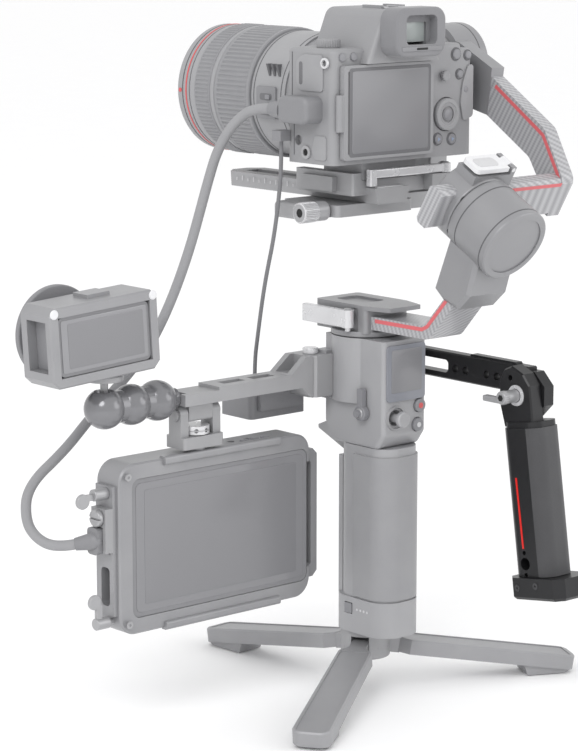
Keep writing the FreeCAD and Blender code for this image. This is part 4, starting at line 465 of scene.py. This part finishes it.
# %% Turned parts
def turned_part(name, body, finish, outline, axis, centre, place=RIG, steps=64, teeth=0, tooth=0.0):
    """Spin an outline of (radius, distance) round an axis; teeth are cut where a radius is negative."""
    first, second, along = TURN_PLANES[axis]
    count = teeth * 4 if teeth else steps
    shape, rings = bmesh.new(), []
    for radius, distance in outline:
        ring = []
        for step in range(count):
            reach = abs(radius) - (tooth if radius < 0 and step % 4 > 1 else 0)
            angle = 2 * math.pi * step / count
            spot = [0.0, 0.0, 0.0]
            spot[first] = centre[first] + reach * math.cos(angle)
            spot[second] = centre[second] + reach * math.sin(angle)
            spot[along] = centre[along] + distance
            ring.append(shape.verts.new(spot))
        rings.append(ring)
    for low, high in zip(rings, rings[1:]):
        for step in range(count):
            after = (step + 1) % count
            shape.faces.new((low[step], low[after], high[after], high[step]))
    if outline[0] != outline[-1]:
        shape.faces.new(rings[0])
        shape.faces.new(rings[-1])
    return keep_piece(name, shape, body, finish, place)


# %% Cut plates
PLATE_PLANES = {"x": (1, 2, 0), "y": (0, 2, 1), "z": (0, 1, 2)}


def cut_plate(name, body, finish, outline, axis, span, place=RIG, corner=0.0, bevel=0.3):
    """A flat outline across a span of its axis; its corners are rounded first, then all its edges are eased."""
    first, second, along = PLATE_PLANES[axis]
    shape, floor = bmesh.new(), []
    for a, b in outline:
        spot = [0.0, 0.0, 0.0]
        spot[first], spot[second], spot[along] = a, b, span[0]
        floor.append(shape.verts.new(spot))
    face = shape.faces.new(floor)
    lifted = bmesh.ops.extrude_face_region(shape, geom=[face])["geom"]
    lift = [0.0, 0.0, 0.0]
    lift[along] = span[1] - span[0]
    bmesh.ops.translate(shape, verts=[v for v in lifted if isinstance(v, bmesh.types.BMVert)], vec=lift)
    if corner:
        upright = [e for e in shape.edges if abs((e.verts[0].co - e.verts[1].co)[along]) > 1e-6]
        bmesh.ops.bevel(shape, geom=upright, offset=corner, segments=5, affect="EDGES", profile=0.5)
    if bevel:
        rim = [e for e in shape.edges if abs((e.verts[0].co - e.verts[1].co)[along]) < 1e-6]
        bmesh.ops.bevel(shape, geom=rim, offset=bevel, segments=2, affect="EDGES", profile=0.6)
    return keep_piece(name, shape, body, finish, place)


def oblong(low, high):
    """The four corners of a rectangle."""
    return [(low[0], low[1]), (high[0], low[1]), (high[0], high[1]), (low[0], high[1])]


# %% Painted lines
def painted_line(name, body, finish, path, axis, level, width, place=RIG, thick=0.25):
    """A flat ribbon along a path in the plane square to an axis, standing a hair proud of its surface."""
    first, second, along = PLATE_PLANES[axis]
    shape, sides = bmesh.new(), []
    spots = [Vector(point) for point in path]
    for number, spot in enumerate(spots):
        run = (spots[min(number + 1, len(spots) - 1)] - spots[max(number - 1, 0)]).normalized()
        across = Vector((-run[1], run[0])) * width / 2
        row = []
        for side in (-1, 1):
            for height in (0, thick):
                point = [0.0, 0.0, 0.0]
                point[first], point[second] = spot[0] + side * across[0], spot[1] + side * across[1]
                point[along] = level + height
                row.append(shape.verts.new(point))
        sides.append([row[0], row[1], row[3], row[2]])
    for low, high in zip(sides, sides[1:]):
        for step in range(4):
            after = (step + 1) % 4
            shape.faces.new((low[step], low[after], high[after], high[step]))
    shape.faces.new(sides[0])
    shape.faces.new(sides[-1])
    return keep_piece(name, shape, body, finish, place, smooth=False)


print("ways of making: turned part, cut plate, painted line")

# %% [markdown]
# ## The big zoom lens
#
# A lens barrel is a stack of rings. The zoom ring is rubber with fine ribs along the axis, so it is cut as teeth
# in a turned outline and replaces the smooth CAD ring. A second, narrower ribbed ring sits in front of it. A thin
# red line and a dark groove mark the front, and a small switch plate with two sliders sits on the left.

# %% Lens rings
LENS_AXIS = (-8, 0, 412.5)
zoom_rubber = turned_part(
    "zoom_ring_rubber", "zoom_ring", LENS_RUBBER,
    [(41.4, 63.2), (44.2, 63.4), (44.9, 64.2), (44.9, 66.5), (-45.2, 66.9), (-45.2, 96.6), (44.9, 97.2),
     (44.9, 100), (44.2, 100.7), (41.4, 100.9), (41.4, 63.2)], "y", LENS_AXIS, teeth=84, tooth=0.9)
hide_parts("zoom_ring")
turned_part("focus_ring_rubber", "camera", LENS_RUBBER,
            [(44.2, 105), (45.0, 105.3), (45.1, 106.4), (-45.5, 106.8), (-45.5, 120), (45.1, 120.4), (45.0, 121.6),
             (44.2, 121.9), (44.2, 105)], "y", LENS_AXIS, teeth=96, tooth=0.8)
turned_part("front_red_line", "camera", LENS_RED, [(44.2, 130.6), (44.85, 130.7), (44.85, 131.7), (44.2, 131.8),
                                                   (44.2, 130.6)], "y", LENS_AXIS, steps=96)
turned_part("front_dark_groove", "camera", DARK_GAP, [(43.9, 134.6), (44.62, 134.6), (44.62, 135.6),
                                                      (43.9, 135.6), (43.9, 134.6)], "y", LENS_AXIS, steps=96)
for number, start in enumerate((16.5, 31.5, 59.5)):
    turned_part(f"barrel_seam_{number}", "camera", DARK_GAP,
                [(36, start), (43.15 if number else 37.2, start), (43.15 if number else 37.2, start + 0.7),
                 (36, start + 0.7), (36, start)], "y", LENS_AXIS, steps=96)
print("lens rings made")

# %% Lens switch plate and vents
cut_plate("lens_switch_plate", "camera", DARK_SHELL, oblong((36, 398), (56, 420)), "x", (-52.2, -46), corner=2)
for number, z in enumerate((403, 413)):
    # The darker well is painted shade in the switch's recess.
    cut_plate(f"lens_switch_well_{number}", "camera", RECESS_SHADE_AND_BEZEL, oblong((40, z - 2.2), (52, z + 2.2)), "x",
              (-52.5, -51.5), corner=1.5, bevel=0.1)
    cut_plate(f"lens_switch_{number}", "camera", KEY_PLASTIC, oblong((41, z - 1.6), (45.5, z + 1.6)), "x",
              (-53.6, -52), corner=0.8, bevel=0.3)
# The dark slanted plates are painted shade inside the barrel's vents.
for number in range(3):
    y = 34.5 + number * 5
    cut_plate(f"lens_vent_{number}", "camera", DARK_GAP,
              [(y, 427), (y + 2.2, 427), (y + 5.4, 435), (y + 3.2, 435)], "x", (-48.9 + number * 0.1, -42),
              bevel=0.1)
turned_part("lens_front_dot", "camera", LENS_RED, [(0.2, 0), (1.5, 0), (1.5, -0.5), (0.2, -0.6)], "x",
            (-52.4, 137.5, 412.5), steps=20)
print("lens switches and vents made")

# %% [markdown]
# ## The camera's controls
#
# The back of a camera is crowded: a wheel with a set button, a little joystick, and round and oval keys, each in
# a shallow ring. All are small turned parts. The screen's glass lies on the hinged panel and moves with it. A pad
# of rubber gives the thumb its grip. Letters and symbols are left out.

# %% Keys on the camera's back
REAR_KEYS = {
    "playback": (30.5, 385, 3.4), "erase": (43.5, 384.5, 3.4), "magnify": (50.5, 428, 2.8),
    "quick_menu": (56, 417.5, 2.6), "lock": (24.5, 443.5, 2.6), "star": (58, 440.5, 2.8), "focus": (47, 441.5, 3.6),
}
for name, (x, z, radius) in REAR_KEYS.items():
    turned_part(f"key_{name}", "camera", KEY_PLASTIC,
                [(0.3, -37.7), (radius - 0.7, -37.6), (radius, -37.0), (radius, -36), (0.3, -36)], "y", (x, 0, z),
                steps=32)
    # The darker ring round each key is painted shade in the gap round it.
    turned_part(f"key_ring_{name}", "camera", RECESS_SHADE_AND_BEZEL,
                [(radius + 0.3, -36), (radius + 1.1, -36), (radius + 0.9, -36.5), (radius + 0.4, -36.5),
                 (radius + 0.3, -36)], "y", (x, 0, z), steps=32)
for name, (x, z) in {"playback": (30.5, 385), "erase": (43.5, 384.5)}.items():
    cut_plate(f"mark_{name}", "camera", BLUE_MARK, [(x - 1, z - 1.3), (x + 1.3, z), (x - 1, z + 1.3)], "y",
              (-37.85, -37.6), bevel=0.05)
turned_part("focus_stick", "camera", GREY_RUBBER,
            [(0.3, -39.6), (2.4, -40.1), (-3.6, -39.7), (-3.6, -37.8), (2.2, -37), (2.2, -36), (0.3, -36)], "y",
            (35, 0, 427.5), teeth=14, tooth=0.5)
turned_part("wheel_ribs", "quick_dial", GREY_RUBBER,
            [(7.4, -38.1), (-10.6, -38.1), (-10.8, -38.7), (8.2, -38.9), (7.4, -38.1)], "y", (38, 0, 401.5),
            teeth=36, tooth=0.5)
turned_part("wheel_set_button", "quick_dial", KEY_PLASTIC,
            [(0.3, -39.3), (3.2, -39.2), (3.9, -38.7), (3.9, -38), (0.3, -38)], "y", (38, 0, 401.5), steps=36)
cut_plate("thumb_grip", "camera", GREY_RUBBER, [(54, 396), (63, 399), (63, 434), (58, 434), (53, 422), (51, 408)],
          "y", (-37.3, -35.9), corner=2, bevel=0.5)
print("rear keys:", len(REAR_KEYS))

# %% Camera screen, eyepiece and shoe
cut_plate("camera_screen_glass", "lcd", CAMERA_GLASS, oblong((-52, 380.5), (17, 434.5)), "y", (-40.85, -40.4),
          corner=1.5, bevel=0.15)
cut_plate("camera_screen_border", "lcd", RECESS_SHADE_AND_BEZEL, oblong((-54.5, 378.3), (19.4, 436.6)), "y",
          (-40.62, -40.4), corner=2, bevel=0.08)
for number, x in enumerate((-57, -47)):
    turned_part(f"menu_key_{number}", "camera", KEY_PLASTIC,
                [(0.3, -37.6), (2.2, -37.5), (2.8, -37), (2.8, -36), (0.3, -36)], "y", (x, 0, 443.6), steps=28)
cut_plate("eyepiece_glass", "camera", EYE_GLASS, oblong((-20.5, 452.5), (4.5, 469)), "y", (-51, -50),
          corner=3, bevel=0.3)
cut_plate("eyepiece_frame", "camera", DARK_SHELL, oblong((-26, 447), (10, 450)), "y", (-60.5, -59.5),
          corner=1.2, bevel=0.3)
cut_plate("eye_sensor", "camera", BLACK_AND_HOLE_SHADE, oblong((-13, 447.8), (-3, 449.2)), "y", (-60.7, -60.3), corner=0.6,
          bevel=0.05)
for side in (-1, 1):
    cut_plate(f"shoe_spring_{side}", "camera", BRIGHT_STEEL,
              oblong((-8 + side * 8.4 - 1, -36), (-8 + side * 8.4 + 1, -18)), "z", (474.6, 475.2), bevel=0.15)
turned_part("mode_dial_knurl", "mode_dial", GREY_ANODISED,
            [(-8.1, 450), (-8.25, 450.6), (-8.25, 455.4), (-8.1, 456), (6.8, 456.8), (6.8, 450), (-8.1, 450)], "z",
            (41, -16, 0), teeth=30, tooth=0.5)
turned_part("left_top_dial", "camera", CAMERA_SHELL,
            [(0.3, 454.6), (7.4, 454.4), (-8.0, 453.6), (-8.0, 449.4), (7.4, 448.8)], "z", (-50, -15, 0), teeth=28,
            tooth=0.4)
print("camera back glazed")

# %% The camera's left side
cut_plate("port_door", "camera", GREY_RUBBER, [(-27, 421), (-4, 421), (-1, 426), (-1, 441), (-8, 445), (-27, 445)],
          "x", (-66.1, -64.9), corner=2.5, bevel=0.5)
# The darker finger slot is painted shade in its recess.
cut_plate("port_door_grip", "camera", RECESS_SHADE_AND_BEZEL, oblong((-7.2, 425), (-4, 440)), "x", (-66.3, -66.0),
          corner=1.4, bevel=0.08)
cut_plate("lower_port_door", "camera", GREY_RUBBER, [(-30, 376), (-19, 376), (-16, 381), (-19, 392), (-30, 392)],
          "x", (-65.9, -64.9), corner=2, bevel=0.4)
turned_part("release_jack_ring", "camera", GREY_STEEL,
            [(2.4, -66.4), (4.4, -66.3), (4.6, -65), (2.4, -65), (2.4, -66.4)], "x", (0, -10.5, 380.5), steps=36)
# The black disc in the jack is painted shade inside the hole.
turned_part("release_jack_hole", "camera", BLACK_AND_HOLE_SHADE, [(0.3, -65.4), (2.4, -65.4), (2.4, -65), (0.3, -65)], "x",
            (0, -10.5, 380.5), steps=36)
turned_part("strap_lug", "camera", BRIGHT_STEEL,
            [(2.2, -67.6), (3.5, -67.6), (3.7, -66.9), (3.5, -66.2), (2.2, -66.2), (2.2, -67.6)], "x",
            (0, -30, 440), steps=36)
painted_line("side_seam", "camera", DARK_GAP, [(2, 378), (2, 410), (4, 418), (4, 446)], "x", -65.15, 0.7)
print("left side made")

# %% [markdown]
# ## Plates under the camera
#
# The camera is screwed to a long dovetail plate that slides in the gimbal's clamp. The plate carries engraved
# tick marks. The balance knob is a bright turned cylinder with a hexagonal socket in its end, and it's knurled
# where the fingers hold it.

# %% Plate and knob
for number in range(12):
    y = 44 + number * 6
    long_tick = 3.4 if number % 2 == 0 else 2
    painted_line(f"plate_tick_{number}", "camera", PALE_MARK, [(y, 349.2), (y, 349.2 + long_tick)], "x", -24.15,
                 0.6, thick=0.2)
cut_plate("plate_inlay", "camera", BRIGHT_STEEL, oblong((-20, -31), (4, -25)), "z", (354.9, 355.4), corner=1,
          bevel=0.15)
turned_part("balance_knob_knurl", "balance_knob", BRIGHT_STEEL,
            [(5.9, -69.6), (-6.9, -69.2), (-7.0, -68.6), (-7.0, -57.4), (-6.9, -56.8), (5.9, -56.4),
             (5.9, -69.6)], "x", (0, -8, 340), teeth=34, tooth=0.45)
turned_part("balance_knob_face", "balance_knob", GREY_STEEL,
            [(3.0, -69.3), (5.9, -69.3), (5.9, -68.8), (3.0, -68.8), (3.0, -69.3)], "x", (0, -8, 340), steps=48)
# The black hexagon is painted shade inside the socket.
turned_part("balance_knob_socket", "balance_knob", BLACK_AND_HOLE_SHADE, [(0.2, -69.1), (3.0, -69.1), (3.0, -68.9),
                                                               (0.2, -68.9)], "x", (0, -8, 340), steps=6)
turned_part("lever_pivot_screw", "plate_lever", GREY_STEEL,
            [(0.3, 368.4), (2.9, 368.3), (3.4, 367.8), (3.4, 367.2), (0.3, 367.2)], "z", (45, -28, 0), steps=36)
print("plate and knob made")

# %% [markdown]
# ## The gimbal's arms and motors
#
# A pink-red line of enamel runs along the upper edge of both carbon arms. Each motor has a groove where its turning
# half meets its fixed half. The clamps close with small black socket screws.

# %% Arm stripes
painted_line("pan_arm_stripe", "pan", PINK_STRIPE, [(-24, 263.6), (-69.5, 263.6), (-74.5, 266.0), (-103, 297.2)],
             "x", -15.2, 2.6)
painted_line("cross_arm_stripe", "roll", PINK_STRIPE, [(26, 11.4), (77, 11.4)], "y", 43.15, 2.6, place=ROLL)
painted_line("side_arm_stripe", "roll", PINK_STRIPE,
             [(-106.2, 357.4), (-103.5, 364), (-90, 388.4), (-85.5, 391.6), (-44.5, 419)], "x", 76.75, 2.6)
print("stripes painted")

# %% Motor grooves, caps and screws
for number, start in enumerate((4.5, 29.6)):
    turned_part(f"roll_motor_groove_{number}", "pan", DARK_GAP,
                [(25.5, start), (26.1, start), (26.1, start + 0.9), (25.5, start + 0.9), (25.5, start)], "y",
                (0, 0, 0), place=ROLL, steps=96)
turned_part("tilt_motor_groove", "roll", DARK_GAP,
            [(27.5, 96), (28.1, 96), (28.1, 96.9), (27.5, 96.9), (27.5, 96)], "x", (0, 16, 431), steps=96)
for number, (x, w) in enumerate(((-20, 12), (-20, -12))):
    turned_part(f"roll_clamp_screw_{number}", "roll", BLACK_EDGE,
                [(1.2, 37.9), (2.4, 37.9), (2.4, 38.8), (1.2, 38.8), (1.2, 37.9)], "y", (x, 0, w), place=ROLL,
                steps=24)
# The grey oval is painted shade in the lever's recess.
cut_plate("roll_lever_recess_shade", "roll_lever", PALE_MARK, oblong((-10, 45), (9, 54)), "z", (31.8, 32.2), place=ROLL,
          corner=3, bevel=0.15)
turned_part("pan_lever_screw", "pan_lever", GREY_STEEL,
            [(0.3, 271.6), (2.4, 271.5), (2.8, 271.1), (2.8, 270.4), (0.3, 270.4)], "z", (-25.5, -8, 0), steps=32)
print("motors detailed")

# %% [markdown]
# ## Grip and control panel
#
# The touch screen has a darker live area inside its glass. The stick wears a knurled cap inside a smooth collar,
# and the round keys have bright caps. Four tiny lamps beside the battery button show the charge.

# %% Control panel
cut_plate("touch_live_area", "stand", CAMERA_GLASS, oblong((-14, 215.5), (14, 245)), "y", (-39.85, -39.5),
          corner=1, bevel=0.08)
turned_part("joystick_knurl", "joystick", PALE_ANODISED,
            [(3.0, -43.8), (-5.3, -43.8), (-5.45, -45), (-5.3, -46.8), (3.0, -46.9), (3.0, -43.8)], "y",
            (-9, 0, 198), teeth=22, tooth=0.6)
turned_part("joystick_collar", "stand", GREY_STEEL,
            [(7.0, -37.9), (8.6, -37.9), (8.2, -39.6), (7.3, -39.7), (7.0, -37.9)], "y", (-9, 0, 198), steps=48)
turned_part("record_key_cap", "record_button", LENS_RED,
            [(0.3, -40.7), (1.7, -40.65), (2.0, -40.4), (2.0, -40.1), (0.3, -40.1)], "y", (13.3, 0, 204.2),
            steps=28)
turned_part("mode_key_cap", "mode_button", PALE_MARK,
            [(0.3, -40.7), (1.5, -40.65), (1.8, -40.4), (1.8, -40.1), (0.3, -40.1)], "y", (11.6, 0, 191),
            steps=28)
turned_part("side_lever_cap", "side_lever", GREY_STEEL,
            [(0.3, -26), (3.0, -25.9), (3.5, -25.4), (3.5, -25.2), (0.3, -25.2)], "x", (0, -19.5, 200.5), steps=36)
for number in range(4):
    turned_part(f"charge_lamp_{number}", "stand", PALE_MARK,
                [(0.1, -20.25), (0.75, -20.2), (0.9, -20), (0.1, -19.9)], "x", (0, -12.7 - 3.4 * number, 60),
                steps=20)
painted_line("grip_red_line", "stand", RED_LINE, [(-9, 207), (9, 207)], "y", 39.95, 1.0)
print("control panel made")

# %% [markdown]
# ## Monitor and second camera
#
# Small keys stand on the monitor's top edge. Round white screws close the top corners of the second camera's
# cage, and its screen lies in the frame's recess. On the far side a lens looks out through the round hood.

# %% Monitor details
for number in range(3):
    x = -92 + number * 9
    cut_plate(f"monitor_key_{number}", "monitor", KEY_PLASTIC, oblong((x - 2.8, 20), (x + 2.8, 25)), "z",
              (183.8, 185), corner=1.2, bevel=0.3)
cut_plate("monitor_live_area", "monitor", CAMERA_GLASS, oblong((-184, 88), (-52, 165)), "y", (15.0, 15.3),
          corner=1.5, bevel=0.08)
for number, (x, z) in enumerate(((-199, 176), (-199, 77))):
    turned_part(f"monitor_cage_screw_{number}", "monitor", GREY_STEEL,
                [(1.0, 12.1), (2.3, 12.0), (2.5, 12.6), (1.0, 12.6), (1.0, 12.1)], "y", (x, 0, z), steps=28)
# The dark strips are painted shade inside the monitor's vents.
for number in range(6):
    z = 98 + number * 5
    cut_plate(f"monitor_vent_{number}", "monitor", DARK_GAP, oblong((-140, z), (-90, z + 1.6)), "y", (40.9, 41.15),
              corner=0.7, bevel=0.08)
turned_part("lock_ring_line", "lock_ring", GREY_STEEL,
            [(9.4, 198.2), (10.05, 198.2), (10.05, 198.9), (9.4, 198.9), (9.4, 198.2)], "z", (-135.5, 22, 0),
            steps=48)
print("monitor detailed")

# %% Second camera details
cut_plate("device_screen_glass", "device", DEVICE_GLASS, oblong((-34, 9), (34, 43)), "y", (-14.45, -13.9),
          place=DEVICE, corner=1.5, bevel=0.1)
cut_plate("device_live_area", "device", CAMERA_GLASS, oblong((-29, 11.5), (31, 40.5)), "y", (-14.65, -14.4),
          place=DEVICE, corner=1, bevel=0.08)
for number, x in enumerate((-39.3, 39.3)):
    turned_part(f"device_screw_{number}", "device", WHITE_ACETAL,
                [(0.9, -16.3), (2.6, -16.2), (3.1, -15.7), (3.1, -15.3), (0.9, -15.3)], "y", (x, 0, 48.3),
                place=DEVICE, steps=32)
    # The dark hexagon is painted shade inside the screw's socket.
    turned_part(f"device_screw_socket_{number}", "device", DARK_GAP, [(0.1, -16.0), (0.9, -16.0), (0.9, -15.4),
                                                                      (0.1, -15.4)], "y", (x, 0, 48.3),
                place=DEVICE, steps=6)
turned_part("device_lens", "device", LENS_GLASS,
            [(0.3, 30.6), (5, 30.2), (9, 28.8), (9.6, 27.6), (0.3, 27.4)], "y", (-6, 0, 26), place=DEVICE)
turned_part("device_lens_ring", "device", GREY_STEEL,
            [(9.7, 27.6), (11.4, 27.6), (11.2, 29.6), (10, 29.8), (9.7, 27.6)], "y", (-6, 0, 26), place=DEVICE)
print("second camera detailed")

# %% [markdown]
# ## The sling handle
#
# The black handle has an aluminium spine with a thin red line. A bright washer sits under the clamp lever, and a
# hexagonal socket in the lever's hub takes a key. The rubber panel has shallow grooves for the fingers.

# %% Sling handle details
painted_line("sling_red_line", "sling", RED_LINE, [(4.6, -55.4), (3.9, -103.6)], "x", 33.3, 1.5, place=SLING,
             thick=0.3)
turned_part("sling_washer", "sling", BRIGHT_STEEL,
            [(4.7, 35.3), (7.0, 35.3), (7.2, 35.7), (7.2, 36.2), (4.7, 36.2), (4.7, 35.3)], "x", (0, 0, 0),
            place=SLING, steps=48)
# The black hexagon is painted shade inside the lever's socket.
turned_part("sling_lever_socket", "sling_lever", BLACK_AND_HOLE_SHADE, [(0.2, 20.9), (2.3, 20.9), (2.3, 21.3), (0.2, 21.3)],
            "x", (0, -108, 218), steps=6)
turned_part("sling_lever_knurl", "sling_lever", GREY_STEEL,
            [(3.9, 22), (-4.6, 22), (-4.7, 22.6), (-4.7, 25.4), (-4.6, 26), (3.9, 26), (3.9, 22)], "x",
            (0, -108, 218), teeth=20, tooth=0.35)
for number, (y, z) in enumerate(((-8, -128), (9, -130))):
    turned_part(f"sling_base_screw_{number}", "sling", BLACK_EDGE,
                [(0.9, 29.2), (2.2, 29.1), (2.4, 29.7), (0.9, 29.7), (0.9, 29.2)], "x", (0, y, z), place=SLING,
                steps=24)
print("sling handle detailed")

# %% [markdown]
# ## Light and floor
#
# The rig stands in a white sweep. A bright even world gives the flat, airy light of a product page, and two large
# area lights add shape: a key from the upper left and a fill from the right. Their size keeps the shadows soft.

# %% Floor, world and lights
def white_sweep():
    """A pale floor with the faintest mottle, so that it never reads as a flat colour."""
    material, tree, shader, place = blank_finish("sweep_paper_white", Roughness=0.9)
    mottle = add_node(tree, "ShaderNodeTexNoise", {"Vector": place, "Scale": per_mm(60), "Detail": 2.0})
    tone = add_node(tree, "ShaderNodeMix", {0: mottle.outputs["Fac"], 6: linear("#ffffff"),
                                            7: linear("#fcfcfd")}, data_type="RGBA")
    tree.links.new(tone.outputs[2], shader.inputs["Base Color"])
    mesh = bpy.data.meshes.new("sweep")
    shape = bmesh.new()
    corners = [shape.verts.new((x * 12, y * 12, -0.0006)) for x, y in ((-1, -1), (1, -1), (1, 1), (-1, 1))]
    shape.faces.new(corners)
    bmesh.ops.subdivide_edges(shape, edges=shape.edges, cuts=3, use_grid_fill=True)
    shape.to_mesh(mesh)
    shape.free()
    mesh.materials.append(material)
    floor = bpy.data.objects.new("sweep", mesh)
    bpy.context.scene.collection.objects.link(floor)
    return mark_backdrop(floor)


def area_light(name, spot, aim, size, watts):
    lamp = bpy.data.lights.new(name, "AREA")
    lamp.shape, lamp.size, lamp.energy = "DISK", size, watts
    light = bpy.data.objects.new(name, lamp)
    light.location = spot
    light.rotation_euler = (Vector(aim) - Vector(spot)).to_track_quat("-Z", "Y").to_euler()
    bpy.context.scene.collection.objects.link(light)
    return light


white_sweep()
world = bpy.data.worlds.new("studio_world")
world.use_nodes = True
world.node_tree.nodes["Background"].inputs["Color"].default_value = linear("#ffffff")
world.node_tree.nodes["Background"].inputs["Strength"].default_value = 1.0
bpy.context.scene.world = world
area_light("key", (-1.6, -0.9, 1.6), (0, 0, 0.25), 1.1, 16)
area_light("fill", (1.2, -1.6, 0.9), (0, 0, 0.25), 1.4, 7)
bpy.context.scene.view_settings.view_transform = "Standard"
print("lights: key and fill")

# %% Update the scene
bpy.context.view_layer.update()
